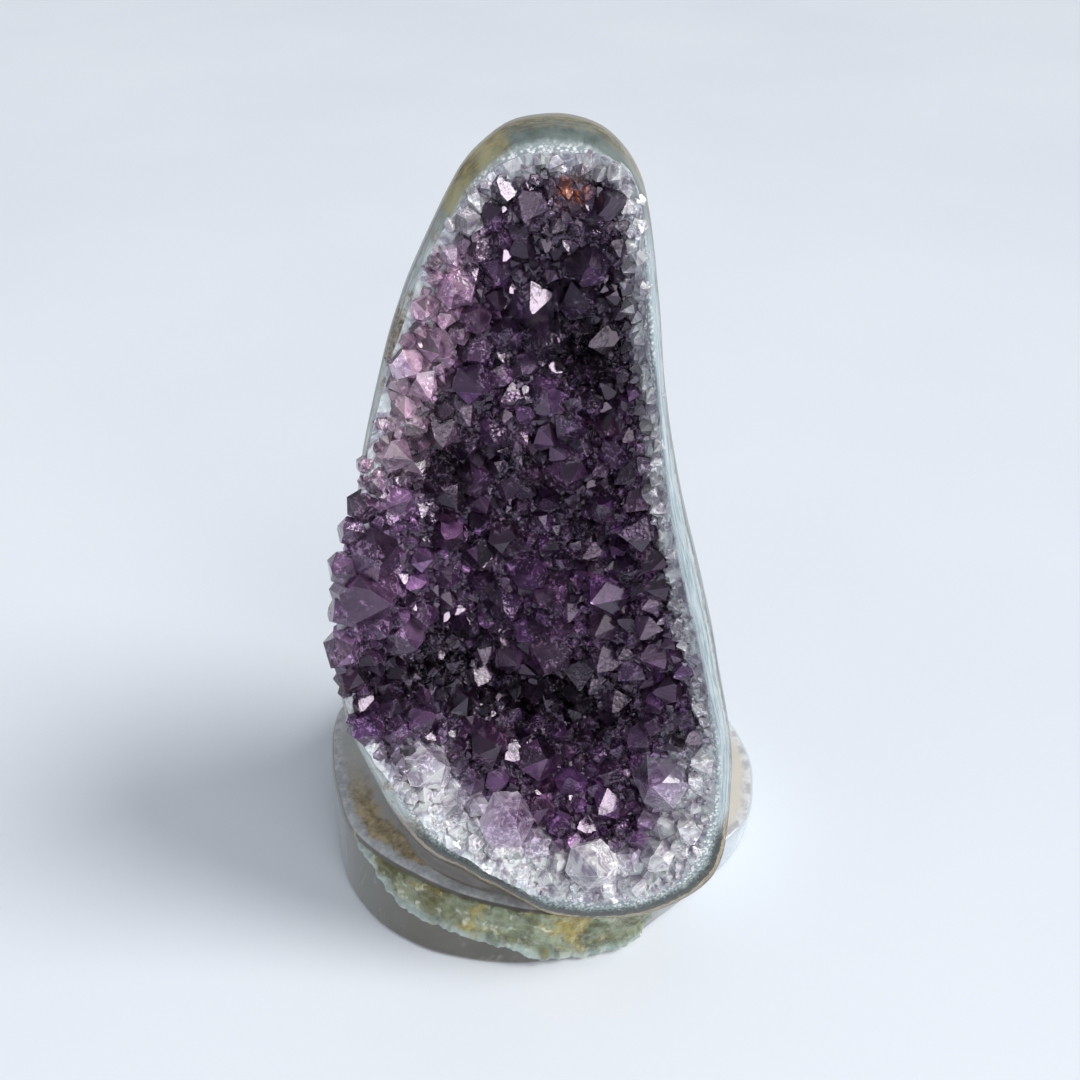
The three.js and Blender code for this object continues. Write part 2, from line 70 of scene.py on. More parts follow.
LIP = np.array([
    [2.1, 6.4], [7.4, 5.6], [12.8, 5.2], [18.3, 5.3], [23.8, 6.2], [28.8, 8.5], [32.9, 12.4], [35.9, 17.5],
    [37.5, 22.7], [38.5, 27.5], [39.2, 32.3], [39.5, 37.6], [39.2, 43.2], [38.5, 48.9], [37.6, 54.2], [36.4, 59.6],
    [35.2, 65.0], [33.9, 70.4], [32.5, 75.7], [31.1, 80.9], [29.7, 86.1], [28.4, 91.4], [27.3, 96.9], [26.2, 102.5],
    [25.3, 108.4], [24.4, 114.2], [23.6, 120.3], [23.0, 126.4], [22.2, 131.6], [21.3, 136.2], [20.7, 141.9], [20.0, 148.0],
    [19.5, 155.1], [18.5, 162.6], [16.0, 167.8], [11.8, 170.2], [6.4, 170.9], [0.7, 170.9], [-4.8, 170.0], [-9.5, 167.4],
    [-13.3, 163.4], [-16.5, 159.6], [-19.4, 155.2], [-22.1, 150.2], [-24.4, 144.3], [-26.5, 138.8], [-28.6, 133.7], [-30.3, 128.0],
    [-32.0, 122.6], [-33.6, 116.9], [-35.0, 111.1], [-36.2, 105.5], [-37.7, 99.8], [-39.3, 94.0], [-40.7, 88.2], [-41.7, 82.4],
    [-42.4, 76.5], [-42.8, 70.7], [-42.8, 64.9], [-42.6, 59.0], [-41.5, 53.3], [-39.2, 48.1], [-36.4, 43.1], [-33.7, 38.3],
    [-31.2, 33.6], [-28.3, 29.1], [-25.1, 24.7], [-21.3, 20.5], [-16.7, 17.2], [-12.2, 14.1], [-7.4, 10.9], [-2.7, 8.2]])
WAVES = [(11.5, 133, 8, 7, -5), (4.3, 50, 17, 9, -6), (-30, 64, 12, 7, -4), (-21, 113, 7, 5, -3),
         (-40, 81, 10, 20, 6), (0, 122, 12, 9, 3), (12.8, 72, 12, 10, 3), (11, 14, 18, 6, 2)]
BASE_TOP = np.array([
    [-20, 5.9], [-9.6, 2.6], [0, 0.8], [12, 1.6], [24, 5.4], [36, 12.6], [48.4, 23.1], [54.7, 31.2], [57.5, 44.4],
    [57.2, 54], [53.9, 65.5], [48, 78], [38, 90], [24, 99.5], [6, 104], [-12, 104], [-28, 99.5], [-42, 91],
    [-52, 80], [-57.4, 71], [-58.6, 62], [-57.4, 51.7], [-55.0, 42], [-49.5, 27.3], [-41, 18.2], [-30, 11]], float)
BASE_UNDER = np.array([
    [-20, 1.6], [-10, 0.2], [-2.5, 0.2], [10, 2.2], [20.2, 5.4], [31, 13.9], [42.4, 23.6], [52, 33.2], [58, 44.4],
    [59.3, 54], [56, 66.5], [49.5, 79], [39, 90.5], [24.5, 99.5], [6, 103.6], [-12, 103.4], [-27.5, 98.8], [-41, 90],
    [-50, 79], [-55, 70], [-56.6, 61], [-55.8, 50.5], [-55.2, 38.5], [-50.5, 23.9], [-41.5, 12], [-30, 4.6]], float)
# lower edge of the rough patch on the front wall: curve parameter, height
PATCH_EDGE = np.array([
    [23.1, 20.0], [23.35, 18.6], [23.55, 17.5], [23.85, 16.5], [24.08, 14.5], [24.28, 12.5], [24.55, 10.2], [24.82, 9.0],
    [25.3, 8.5], [25.52, 9.5], [25.78, 8.5], [26.08, 8.2], [26.22, 7.2], [26.62, 7.0], [27.38, 6.5], [27.82, 4.0],
    [28.3, 2.0], [28.9, 0.6], [29.5, 0.9], [30.1, 0.5], [30.35, 1.2], [30.42, 4.5], [30.6, 9.0], [30.9, 14.0], [31.2, 20.0]])

# ------------------------------------------------------------------ helpers
def sm(x, a, b):
    t = np.clip((np.asarray(x, float) - a) / (b - a), 0, 1)
    return t * t * (3 - 2 * t)


def mixf(a, b, t):
    return a + (b - a) * t


def closed(points, count):
    n = len(points)
    t = np.arange(count) * n / count
    i = np.floor(t).astype(int)
    f = (t - i)[:, None]
    a, b, c, d = points[(i - 1) % n], points[i % n], points[(i + 1) % n], points[(i + 2) % n]
    return 0.5 * ((2 * b) + (c - a) * f + (2 * a - 5 * b + 4 * c - d) * f * f + (-a + 3 * b - 3 * c + d) * f ** 3)


def world(u, v, w):
    u, v, w = np.broadcast_arrays(np.asarray(u, float), np.asarray(v, float), np.asarray(w, float))
    return FACE_O + OFFSET + u[..., None] * U + v[..., None] * V + w[..., None] * W


def srgb(h):
    c = np.array([int(h[i:i + 2], 16) for i in (1, 3, 5)]) / 255
    return np.where(c <= 0.04045, c / 12.92, ((c + 0.055) / 1.055) ** 2.4)


def fbm(p, scale, octaves=4, seed=0.0):
    """Fractal noise about 0 at each point, p in mm."""
    out = np.empty(len(p))
    o = Vector((seed * 17.3, seed * 7.1, seed * 3.7))
    for k, q in enumerate(p):
        out[k] = noise.fractal(Vector(q) / scale + o, 0.9, 2.1, octaves)
    return out


def left_bulge(u, v):
    return sm(-u, 10, 34) * sm(v, 40, 60) * (1 - sm(v, 100, 125))


def rim_h(u, v):
    return -1.5 - 7.0 * sm(v, 150, 178) - 4.5 * left_bulge(u, v)


def lip_h(u, v):
    return 0.8 - 2.5 * sm(v, 150, 172) - 3.0 * left_bulge(u, v)


def dome_depth(v):
    return DOME_TOP + (DOME_LOW - DOME_TOP) * (1 - sm(v, 60, 185))


def skin_bulge(u, v):
    return 0.5 + 8.0 * np.exp(-((u + 19) ** 2 + (v - 11) ** 2) / 240)


LIPF = closed(LIP, 720)
_t = np.arctan2(LIPF[:, 1] - FC[1], LIPF[:, 0] - FC[0])
_o = np.argsort(_t)
_LT, _LR = _t[_o], np.hypot(*(LIPF - FC).T)[_o]


def rho_of(u, v):
    t = np.arctan2(v - FC[1], u - FC[0])
    return np.hypot(u - FC[0], v - FC[1]) / np.interp(t, _LT, _LR, period=2 * math.pi)


def lip_distance(u, v):
    """Distance inside the lip, mm, negative outside."""
    u, v = np.atleast_1d(u).astype(float), np.atleast_1d(v).astype(float)
    d = np.empty(len(u))
    for k in range(0, len(u), 2000):
        s = slice(k, k + 2000)
        d[s] = np.hypot(u[s, None] - LIPF[None, :, 0], v[s, None] - LIPF[None, :, 1]).min(1)
    return np.where(rho_of(u, v) <= 1, d, -d)


def bed_h(u, v, rho=None):
    u, v = np.asarray(u, float), np.asarray(v, float)
    r = np.minimum(1, rho_of(u, v) if rho is None else rho)
    w = -(6 + 9 * (1 - sm(v, 60, 170))) * (1 - r ** 2.2) + lip_h(u, v) * r ** 6
    for a, b, c, d, h in WAVES:
        w = w + h * np.exp(-((u - a) ** 2 / (2 * c * c) + (v - b) ** 2 / (2 * d * d)))
    return w


def bowl_h(u, v, rho):
    return mixf(bed_h(u, v, rho) - CRUST, lip_h(u, v), sm(rho, 0.9, 1))


def bed_normal(u, v):
    e = 2.0
    n = np.stack([-(bed_h(u + e, v) - bed_h(u - e, v)) / (2 * e), -(bed_h(u, v + e) - bed_h(u, v - e)) / (2 * e), np.ones_like(u)], -1)
    return n / np.linalg.norm(n, axis=-1, keepdims=True)


def mesh_object(name, verts, faces, smooth=True, attrs=None, colors=None):
    """verts in mm; faces a list of index lists or an (n, 4) array."""
    me = bpy.data.meshes.new(name)
    if isinstance(faces, np.ndarray):
        faces = faces.tolist()
    me.from_pydata((np.asarray(verts) * MM).tolist(), [], faces)
    me.polygons.foreach_set("use_smooth", [smooth] * len(me.polygons))
    for k, a in (attrs or {}).items():
        at = me.attributes.new(k, "FLOAT", "POINT")
        at.data.foreach_set("value", np.asarray(a, np.float32))
    for k, a in (colors or {}).items():
        at = me.attributes.new(k, "FLOAT_COLOR", "POINT")
        rgba = np.ones((len(verts), 4), np.float32)
        rgba[:, :3] = a
        at.data.foreach_set("color", rgba.ravel())
    me.update()
    o = bpy.data.objects.new(name, me)
    bpy.context.scene.collection.objects.link(o)
    return o


def ring_faces(rows, n, first=True, last=True):
    """Quads between rows of n points, with fans to two extra points rows*n and rows*n+1."""
    i = np.arange(n)
    j = (i + 1) % n
    f = []
    for k in range(rows - 1):
        f.append(np.stack([k * n + i, (k + 1) * n + i, (k + 1) * n + j, k * n + j], 1))
    faces = np.concatenate(f).tolist()
    if first:
        faces += np.stack([np.full(n, rows * n), i, j], 1).tolist()
    if last:
        m = (rows - 1) * n
        faces += np.stack([np.full(n, rows * n + 1), m + j, m + i], 1).tolist()
    return faces


def outward(verts, faces):
    """Faces turned so that the closed mesh's volume is positive."""
    vol = 0.0
    v = np.asarray(verts)
    for f in faces:
        for k in range(1, len(f) - 1):
            vol += float(np.dot(v[f[0]], np.cross(v[f[k]], v[f[k + 1]])))
    return faces if vol > 0 else [f[::-1] for f in faces]


# ------------------------------------------------------------------ node helpers
class Mat:
    def __init__(self, name):
        self.m = bpy.data.materials.new(name)
        self.m.use_nodes = True
        self.t = self.m.node_tree
        self.t.nodes.clear()
        self.out = self.n("ShaderNodeOutputMaterial")

    def n(self, kind, **props):
        nd = self.t.nodes.new(kind)
        for k, v in props.items():
            setattr(nd, k, v)
        return nd

    def link(self, a, b):
        self.t.links.new(a, b)

    def put(self, sock, val):
        if hasattr(val, "is_linked") or hasattr(val, "links"):
            self.link(val, sock)
        else:
            sock.default_value = val

    def attr(self, name, color=False):
        a = self.n("ShaderNodeAttribute", attribute_name=name)
        return a.outputs["Color"] if color else a.outputs["Fac"]

    def coord(self):
        return self.n("ShaderNodeTexCoord").outputs["Object"]

    def noise(self, vec, scale, detail=4.0, rough=0.55, dist=0.0, color=False):
        nd = self.n("ShaderNodeTexNoise")
        self.link(vec, nd.inputs["Vector"])
        nd.inputs["Scale"].default_value = scale
        nd.inputs["Detail"].default_value = detail
        nd.inputs["Roughness"].default_value = rough
        nd.inputs["Distortion"].default_value = dist
        return nd.outputs["Color" if color else "Fac"]

    def voronoi(self, vec, scale, feature="F1", out="Distance", rand=1.0):
        nd = self.n("ShaderNodeTexVoronoi", feature=feature)
        self.link(vec, nd.inputs["Vector"])
        nd.inputs["Scale"].default_value = scale
        nd.inputs["Randomness"].default_value = rand
        return nd.outputs[out]

    def scale(self, vec, s):
        nd = self.n("ShaderNodeMapping")
        self.link(vec, nd.inputs["Vector"])
        nd.inputs["Scale"].default_value = s
        return nd.outputs["Vector"]

    def combine(self, x, y, z):
        nd = self.n("ShaderNodeCombineXYZ")
        for k, val in zip("XYZ", (x, y, z)):
            self.put(nd.inputs[k], val)
        return nd.outputs["Vector"]

    def math(self, op, a, b=0.0, clamp=False):
        nd = self.n("ShaderNodeMath", operation=op, use_clamp=clamp)
        self.put(nd.inputs[0], a)
        self.put(nd.inputs[1], b)
        return nd.outputs[0]

    def ramp(self, fac, a, b, lo=0.0, hi=1.0, smooth=True):
        """a..b -> lo..hi."""
        nd = self.n("ShaderNodeMapRange", interpolation_type="SMOOTHSTEP" if smooth else "LINEAR")
        self.put(nd.inputs["Value"], fac)
        for k, val in zip(("From Min", "From Max", "To Min", "To Max"), (a, b, lo, hi)):
            nd.inputs[k].default_value = val
        return nd.outputs["Result"]

    def mix(self, fac, a, b, blend="MIX"):
        nd = self.n("ShaderNodeMix", data_type="RGBA", blend_type=blend)
        self.put(nd.inputs[0], fac)
        for sock, val in ((nd.inputs[6], a), (nd.inputs[7], b)):
            if hasattr(val, "is_linked") or hasattr(val, "links"):
                self.link(val, sock)
            else:
                sock.default_value = (*val, 1.0)
        return nd.outputs[2]

    def bump(self, height, strength, distance=0.0005, normal=None):
        nd = self.n("ShaderNodeBump")
        nd.inputs["Strength"].default_value = strength
        nd.inputs["Distance"].default_value = distance
        self.link(height, nd.inputs["Height"])
        if normal is not None:
            self.link(normal, nd.inputs["Normal"])
        return nd.outputs["Normal"]

    def shade(self, color, rough, normal=None, **const):
        p = self.n("ShaderNodeBsdfPrincipled")
        self.put(p.inputs["Base Color"], color)
        self.put(p.inputs["Roughness"], rough)
        if normal is not None:
            self.link(normal, p.inputs["Normal"])
        for k, val in const.items():
            p.inputs[k.replace("_", " ")].default_value = val
        self.link(p.outputs["BSDF"], self.out.inputs["Surface"])
        return p


# ------------------------------------------------------------------ camera, light, floor
scene = bpy.context.scene
scene.view_settings.view_transform = "Standard"
scene.view_settings.look = "None"
scene.view_settings.exposure = 0.0

cam = bpy.data.cameras.new("camera")
cam.lens = 38.33
cam.sensor_width = 36.0
cam.clip_start, cam.clip_end = 0.01, 20.0
camera = bpy.data.objects.new("camera", cam)
camera.location = ((0 + OFFSET[0]) * MM, (-169.3 + OFFSET[1]) * MM, 253.6 * MM)
camera.rotation_euler = (math.radians(54.0), 0, 0)
scene.collection.objects.link(camera)
scene.camera = camera
CAM = np.array(camera.location) / MM

world_data = bpy.data.worlds.new("studio")
world_data.use_nodes = True
bg = world_data.node_tree.nodes["Background"]
wt = world_data.node_tree
sep = wt.nodes.new("ShaderNodeSeparateXYZ")
wt.links.new(wt.nodes.new("ShaderNodeTexCoord").outputs["Generated"], sep.inputs[0])
sky = wt.nodes.new("ShaderNodeMapRange")
sky.interpolation_type = "SMOOTHSTEP"
for key, val in (("From Min", 0.04), ("From Max", 0.30), ("To Min", 0.72), ("To Max", 0.38)):
    sky.inputs[key].default_value = val
wt.links.new(sep.outputs["Z"], sky.inputs["Value"])
wt.links.new(sky.outputs["Result"], bg.inputs["Strength"])
bg.inputs["Color"].default_value = (0.87, 0.92, 1.0, 1)
scene.world = world_data


def area(name, loc, target, size, power, color):
    d = bpy.data.lights.new(name, "AREA")
    d.shape = "RECTANGLE"
    d.size, d.size_y = size
    d.energy = power
    d.color = color
    o = bpy.data.objects.new(name, d)
    o.location = loc
    o.rotation_euler = (Vector(target) - Vector(loc)).to_track_quat("-Z", "Y").to_euler()
    scene.collection.objects.link(o)
    return o


WINDOW = Vector((0.95, -0.15, 1.05)).normalized()
sun = bpy.data.lights.new("window", "SUN")
sun.energy = 2.2
sun.angle = math.radians(27.0)
sun.color = (1.0, 0.985, 0.96)
sun_o = bpy.data.objects.new("window", sun)
sun_o.rotation_euler = (-WINDOW).to_track_quat("-Z", "Y").to_euler()
scene.collection.objects.link(sun_o)
area("front", (0.5, -1.3, 1.35), (0, 0.1, 0.12), (1.4, 1.1), 11.0, (1.0, 0.99, 0.98))

floor_mat = Mat("pale_floor")
c = floor_mat.coord()
fn = floor_mat.noise(c, 3.0, 3.0)
floor_mat.shade(floor_mat.mix(floor_mat.ramp(fn, 0.3, 0.7), srgb("#e3e9f1"), srgb("#e9eef5")), 0.55,
                floor_mat.bump(floor_mat.noise(c, 900.0, 2.0), 0.02, 0.0002))
floor = mesh_object("floor", [(-9000, -9000, 0), (9000, -9000, 0), (9000, 9000, 0), (-9000, 9000, 0)], [[0, 1, 2, 3]])
floor.location.z = -0.0001
floor.data.materials.append(floor_mat.m)

# ------------------------------------------------------------------ rind of the geode
NS = 720
RIMF = closed(RIM, NS)
LIPN = closed(LIP, NS)
_d = np.roll(RIMF, -1, 0) - np.roll(RIMF, 1, 0)
_d /= np.linalg.norm(_d, axis=1, keepdims=True)
OUT = np.stack([_d[:, 1], -_d[:, 0]], 1)
BAND = np.linalg.norm(RIMF - LIPN, axis=1)
ARC = np.concatenate([[0], np.cumsum(np.linalg.norm(np.diff(RIMF, axis=0), axis=1))])

rows, lay = [], []          # each row (u, v, w) of NS points; lay = mm inward of the rim's outer edge
for rho in np.linspace(0.25, 1.0, 14):
    q = FC + (LIPN - FC) * rho
    rows.append((q[:, 0], q[:, 1], bowl_h(q[:, 0], q[:, 1], rho)))
    lay.append(BAND + (1 - rho) * np.linalg.norm(LIPN - FC, axis=1))
for t in np.linspace(0.06, 0.94, 16):
    q = LIPN + (RIMF - LIPN) * t
    w = mixf(lip_h(*LIPN.T), rim_h(*RIMF.T), t) + 0.9 * np.sin(t * math.pi) ** 0.8 * (1 - t * 0.5)
    rows.append((q[:, 0], q[:, 1], w))
    lay.append(BAND * (1 - t))
b = skin_bulge(*RIMF.T)
for grow, drop in [(0.02, 0.1), (0.07, 0.45), (0.16, 0.9), (0.3, 1.45), (0.45, 2.0), (0.6, 2.6), (0.75, 3.4), (0.87, 4.4), (0.96, 5.4), (1.0, 6.5)]:
    q = RIMF + OUT * (b * grow)[:, None]
    rows.append((q[:, 0], q[:, 1], rim_h(*RIMF.T) - drop))
    lay.append(-np.hypot(b * grow, drop))
su, sv, sw = rows[-1]
prev = np.stack(rows[-1], 1)
for rho in np.concatenate([1 - np.linspace(0.02, 1, 34) ** 1.7 * 0.97]):
    f = math.sqrt(1 - rho ** DOME_POW)
    a = mixf(FC[0], su, rho)
    bb = mixf(FC[1], sv, rho)
    d = mixf(sw, -dome_depth(bb), f)
    cur = np.stack([a, bb + DOME_SHEAR * (1 - sm(bb, 60, 130)) * (d - sw), d], 1)
    lay.append(lay[-1] - np.linalg.norm(cur - prev, axis=1))
    prev = cur
    rows.append((cur[:, 0], cur[:, 1], cur[:, 2]))
P = np.concatenate([world(*r) for r in rows])
uvw = np.concatenate([np.stack(r, 1) for r in rows])
lay = np.concatenate(lay)
nrow = len(rows)
ends = world(np.array([FC[0], FC[0]]), np.array([FC[1], 66.0]), np.array([float(bowl_h(FC[0], FC[1], 0.0)), -DOME_LOW + 0.4]))
ends[1] = P[(nrow - 1) * NS:nrow * NS].mean(0)
P = np.concatenate([P, ends])
uvw = np.concatenate([uvw, [[*FC, -15], [*FC, -68]]])
lay = np.concatenate([lay, [60, -90]])
arc = np.concatenate([np.tile(ARC, nrow), [0, 0]])
faces = outward(P, ring_faces(nrow, NS))
# the outside is gently uneven; the polished rim stays smooth
nrm = P - np.array([OFFSET[0], OFFSET[1] + 30, 90.0])
nrm /= np.linalg.norm(nrm, axis=1, keepdims=True)
back = sm(-lay, 3, 12)
P = P + nrm * (back * (0.55 * fbm(P, 24.0, 3, 1) + 0.12 * fbm(P, 5.0, 3, 2)))[:, None]
P[:, 2] = np.maximum(P[:, 2], BASE_H + STONE_GAP)

u_, v_ = uvw[:, 0], uvw[:, 1]
bottom = 1 - sm(v_, 14, 34)
top = sm(v_, 150, 168)
left = sm(-u_, 8, 26)
right = sm(u_, 6, 18)
rind = mesh_object("rind", P, faces, True, {
    "lay": lay, "arc": arc, "olive": np.exp(-((u_ + 12.5) ** 2 / 70 + (v_ - 168) ** 2 / 90)), "bottom": bottom, "crown": top, "rock": np.exp(-((u_ + 29) ** 2 / 14 + (v_ - 139) ** 2 / 60)), "left": left, "right": right, "v": v_})

m = Mat("rind_stone")
co = m.coord()
la, ar = m.attr("lay"), m.attr("arc")
bo, cr, le, ri, vv = (m.attr(k) for k in ("bottom", "crown", "left", "right", "v"))
wav = m.noise(m.combine(m.math("MULTIPLY", ar, 0.16), 0.0, 0.0), 1.0, 5.0, 0.6)          # slow wander along the rim
wob = m.noise(m.combine(m.math("MULTIPLY", ar, 0.8), 3.0, 0.0), 1.0, 4.0, 0.6)
lw = m.math("ADD", la, m.math("ADD", m.math("MULTIPLY", m.math("SUBTRACT", wav, 0.5), 2.2), m.math("MULTIPLY", m.math("SUBTRACT", wob, 0.5), 1.7)))
# fine streaks that run along the rim
st = m.noise(m.combine(m.math("MULTIPLY", ar, 0.10), m.math("MULTIPLY", la, 1.9), 0.0), 1.0, 6.0, 0.65, 0.4)
st2 = m.noise(m.combine(m.math("MULTIPLY", ar, 0.35), m.math("MULTIPLY", la, 5.0), 7.0), 1.0, 4.0, 0.6, 0.3)
grain = m.noise(co, 1400.0, 4.0, 0.6)
grain2 = m.noise(co, 3200.0, 2.0, 0.6)
cloud = m.noise(co, 110.0, 5.0, 0.6)
# agate of the rim: pale blue-grey, whiter inwards
agate = m.mix(m.ramp(st, 0.32, 0.68), srgb("#93a7ae"), srgb("#d9e4ea"))
agate = m.mix(m.ramp(st2, 0.45, 0.72, 0, 0.55), agate, srgb("#f1f6f8"))
white = m.mix(m.ramp(m.voronoi(co, 1250.0, "F1", "Distance"), 0.15, 0.6), srgb("#eef2f2"), srgb("#8f9b9f"))
white = m.mix(m.ramp(grain, 0.52, 0.68, 0.0, 0.8), white, srgb("#fbfdfd"))
agate = m.mix(m.math("MULTIPLY", ri, 0.6), agate, m.mix(1.0, agate, (0.52, 0.55, 0.57), "MULTIPLY"))
agate = m.mix(m.math("MULTIPLY", le, 0.6), agate, m.mix(1.0, agate, (0.80, 0.75, 0.68), "MULTIPLY"))
agate = m.mix(m.math("MULTIPLY", cr, 0.6), agate, m.mix(1.0, agate, (0.78, 0.77, 0.74), "MULTIPLY"))
agate = m.mix(m.ramp(lw, 3.0, 5.5), agate, white)
crumb = m.ramp(m.noise(co, 170.0, 6.0, 0.68, 0.6), 0.46, 0.58, 0.0, 0.75)
agate = m.mix(m.math("MULTIPLY", crumb, le), agate, m.mix(m.ramp(grain, 0.38, 0.64), srgb("#6b6350"), srgb("#cbc0aa")))
# dark speckled green-grey band near the bottom edge, thinner elsewhere
speck = m.mix(m.ramp(grain, 0.46, 0.70), srgb("#080c0b"), srgb("#3a4843"))
speck = m.mix(m.ramp(grain2, 0.60, 0.70, 0, 0.6), speck, srgb("#a3b2b0"))
speck = m.mix(m.ramp(lw, 3.4, 5.2, 0.0, 0.75), speck, m.mix(m.ramp(grain, 0.42, 0.6), srgb("#5b6d6d"), srgb("#a9bab9")))
band_in = m.ramp(lw, 4.6, 6.4, 1, 0)
bandm = m.math("MULTIPLY", band_in, m.ramp(bo, 0.10, 0.7))
col = m.mix(bandm, agate, speck)
topband = m.math("MULTIPLY", m.ramp(lw, 3.2, 5.0, 0.95, 0), cr)
col = m.mix(topband, col, m.mix(m.ramp(cloud, 0.35, 0.65), srgb("#3d4844"), srgb("#6f7b76")))
# skin outside the rim
far = m.ramp(la, -18.0, -8.0, 0.3, 1.0)
basalt = m.mix(m.ramp(m.noise(co, 85.0, 7.0, 0.66, 0.4), 0.34, 0.66), srgb("#4d463f"), srgb("#857b6f"))
skin = m.mix(far, basalt, m.mix(m.ramp(st, 0.34, 0.62), srgb("#38312b"), srgb("#6c6156")))
skin = m.mix(m.math("MULTIPLY", m.ramp(st2, 0.54, 0.68, 0, 0.5), far), skin, srgb("#988c7b"))
skin = m.mix(m.math("MULTIPLY", m.ramp(st2, 0.36, 0.44, 0.8, 0.0), far), skin, srgb("#322c27"))
skin = m.mix(m.ramp(cloud, 0.45, 0.7, 0.0, 0.35), skin, srgb("#7d7a86"))
chalk = m.mix(m.ramp(cloud, 0.35, 0.7), srgb("#8f9ca0"), srgb("#c9d2d3"))
patchy = m.noise(co, 46.0, 8.0, 0.70, 0.12)
skin = m.mix(m.math("MULTIPLY", m.ramp(patchy, 0.52, 0.64, 0.0, 0.85), m.ramp(la, -14.0, -7.0, 1.0, 0.15)), skin, chalk)
skin = m.mix(m.math("MULTIPLY", m.ramp(bo, 0.0, 0.6, 0.75, 0.0), m.ramp(la, -9.0, -4.0, 0.0, 1.0)), skin, m.mix(m.ramp(st, 0.3, 0.7), srgb("#8e9fa6"), srgb("#cdd8dc")))
skin = m.mix(m.ramp(la, -11.0, -5.0, 0.0, 0.72), skin, m.mix(1.0, skin, (0.48, 0.45, 0.42), "MULTIPLY"))
skin = m.mix(m.math("MULTIPLY", m.math("MULTIPLY", cr, m.ramp(la, -9.0, -3.0, 0.0, 1.0)), 0.8), skin, m.mix(m.ramp(st2, 0.4, 0.6), srgb("#5d583d"), srgb("#928a68")))
skinm = m.ramp(lw, 0.4, 0.65, 1, 0)
col = m.mix(skinm, col, skin)
line = m.math("MULTIPLY", m.ramp(lw, 0.35, 0.6), m.ramp(lw, 1.6, 1.9, 1, 0))
rock = m.ramp(m.math("ADD", m.attr("rock"), m.math("MULTIPLY", m.math("SUBTRACT", m.noise(co, 260.0, 5.0, 0.65), 0.5), 0.9)), 0.42, 0.6, 0.0, 0.85)
col = m.mix(m.math("MULTIPLY", rock, m.ramp(la, -5.0, -2.0, 0.0, 1.0)), col, m.mix(m.ramp(grain, 0.38, 0.62), srgb("#3b3028"), srgb("#93856e")))
ol = m.attr("olive")
oliv = m.mix(m.ramp(cloud, 0.35, 0.65), srgb("#5f5a3c"), srgb("#a3a07c"))
oliv = m.mix(m.ramp(st2, 0.52, 0.62, 0.0, 0.8), oliv, srgb("#b3a04e"))
col = m.mix(m.math("MULTIPLY", m.ramp(m.math("ADD", ol, m.math("MULTIPLY", m.math("SUBTRACT", patchy, 0.5), 0.5)), 0.30, 0.5, 0.0, 0.9), m.math("MULTIPLY", m.ramp(la, 2.5, 5.5, 1, 0), m.ramp(la, -12.0, -5.0, 0.0, 1.0))), col, oliv)
linem = m.math("MULTIPLY", line, m.ramp(m.math("ADD", bo, m.math("MULTIPLY", cr, 0.16)), 0.05, 0.5, 0.12, 1.0))
col = m.mix(linem, col, m.mix(m.ramp(st2, 0.4, 0.6), srgb("#75664f"), srgb("#b3a281")))
rough = m.ramp(m.math("ADD", m.math("MULTIPLY", grain, 0.5), m.math("MULTIPLY", skinm, 0.5)), 0.2, 0.9, 0.16, 0.42)
nr = m.bump(m.math("ADD", m.math("MULTIPLY", grain, m.ramp(lw, 3.0, 5.0)), m.math("MULTIPLY", patchy, 2.0)), 0.25, 0.0004)
m.shade(col, rough, nr, Coat_Weight=0.3, Coat_Roughness=0.16, IOR=1.54)
rind.data.materials.append(m.m)
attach(rind, "root")
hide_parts("agate_shell")

# ------------------------------------------------------------------ crystals
rng = np.random.default_rng(191)
LARGE = [
    (7.6, 144.3, 4.6), (1.0, 137.4, 5.4), (-6.7, 137.7, 3.9), (1.0, 125.5, 5.3), (-16.0, 146.7, 4.1), (9.4, 151.2, 4.7),
    (12.8, 162.2, 3.6), (-7.4, 155.9, 3.3), (-20.1, 136.2, 4.2), (-25.9, 132.6, 3.8), (-27.3, 123.5, 3.5), (-13.1, 81.2, 4.8),
    (-7.7, 74.5, 6.0), (-2.2, 83.2, 4.4), (14.1, 78.8, 6.5), (23.7, 73.4, 4.3), (2.3, 62.1, 6.1), (14.7, 61.9, 5.6),
    (-34.5, 92.9, 6.1), (-35.9, 84.2, 7.2), (-30.4, 70.5, 4.8), (28.7, 33.2, 7.3), (26.3, 46.5, 4.1), (36.8, 41.4, 4.0),
    (-25.9, 38.8, 6.3), (-11.6, 39.6, 5.8), (-1.2, 35.4, 5.6), (7.0, 31.0, 4.7), (-8.1, 23.7, 6.9), (11.6, 13.6, 6.5),
    (27.7, 16.3, 4.6), (34.3, 23.3, 3.7), (-20.5, 28.8, 3.2), (4.6, 21.7, 3.7)]
EDGE = [(-38.2, 98.6, 3.4, -0.5, 0.3), (-39.8, 90.6, 3.8, -0.6, 0.2), (-41.0, 81.0, 4.4, -0.7, 0.0), (-41.4, 71.6, 4.2, -0.7, 0.0),
        (-41.0, 62.8, 3.8, -0.6, -0.1), (-39.4, 55.6, 3.2, -0.4, -0.2)]

cu, cv, cr_, clu, clv = [], [], [], [], []
for u, v, r in LARGE:
    cu.append(u), cv.append(v), cr_.append(r), clu.append(rng.uniform(-.25, .25)), clv.append(rng.uniform(-.25, .25) + .12)
for u, v, r, a, b2 in EDGE:
    cu.append(u), cv.append(v), cr_.append(r), clu.append(a), clv.append(b2)


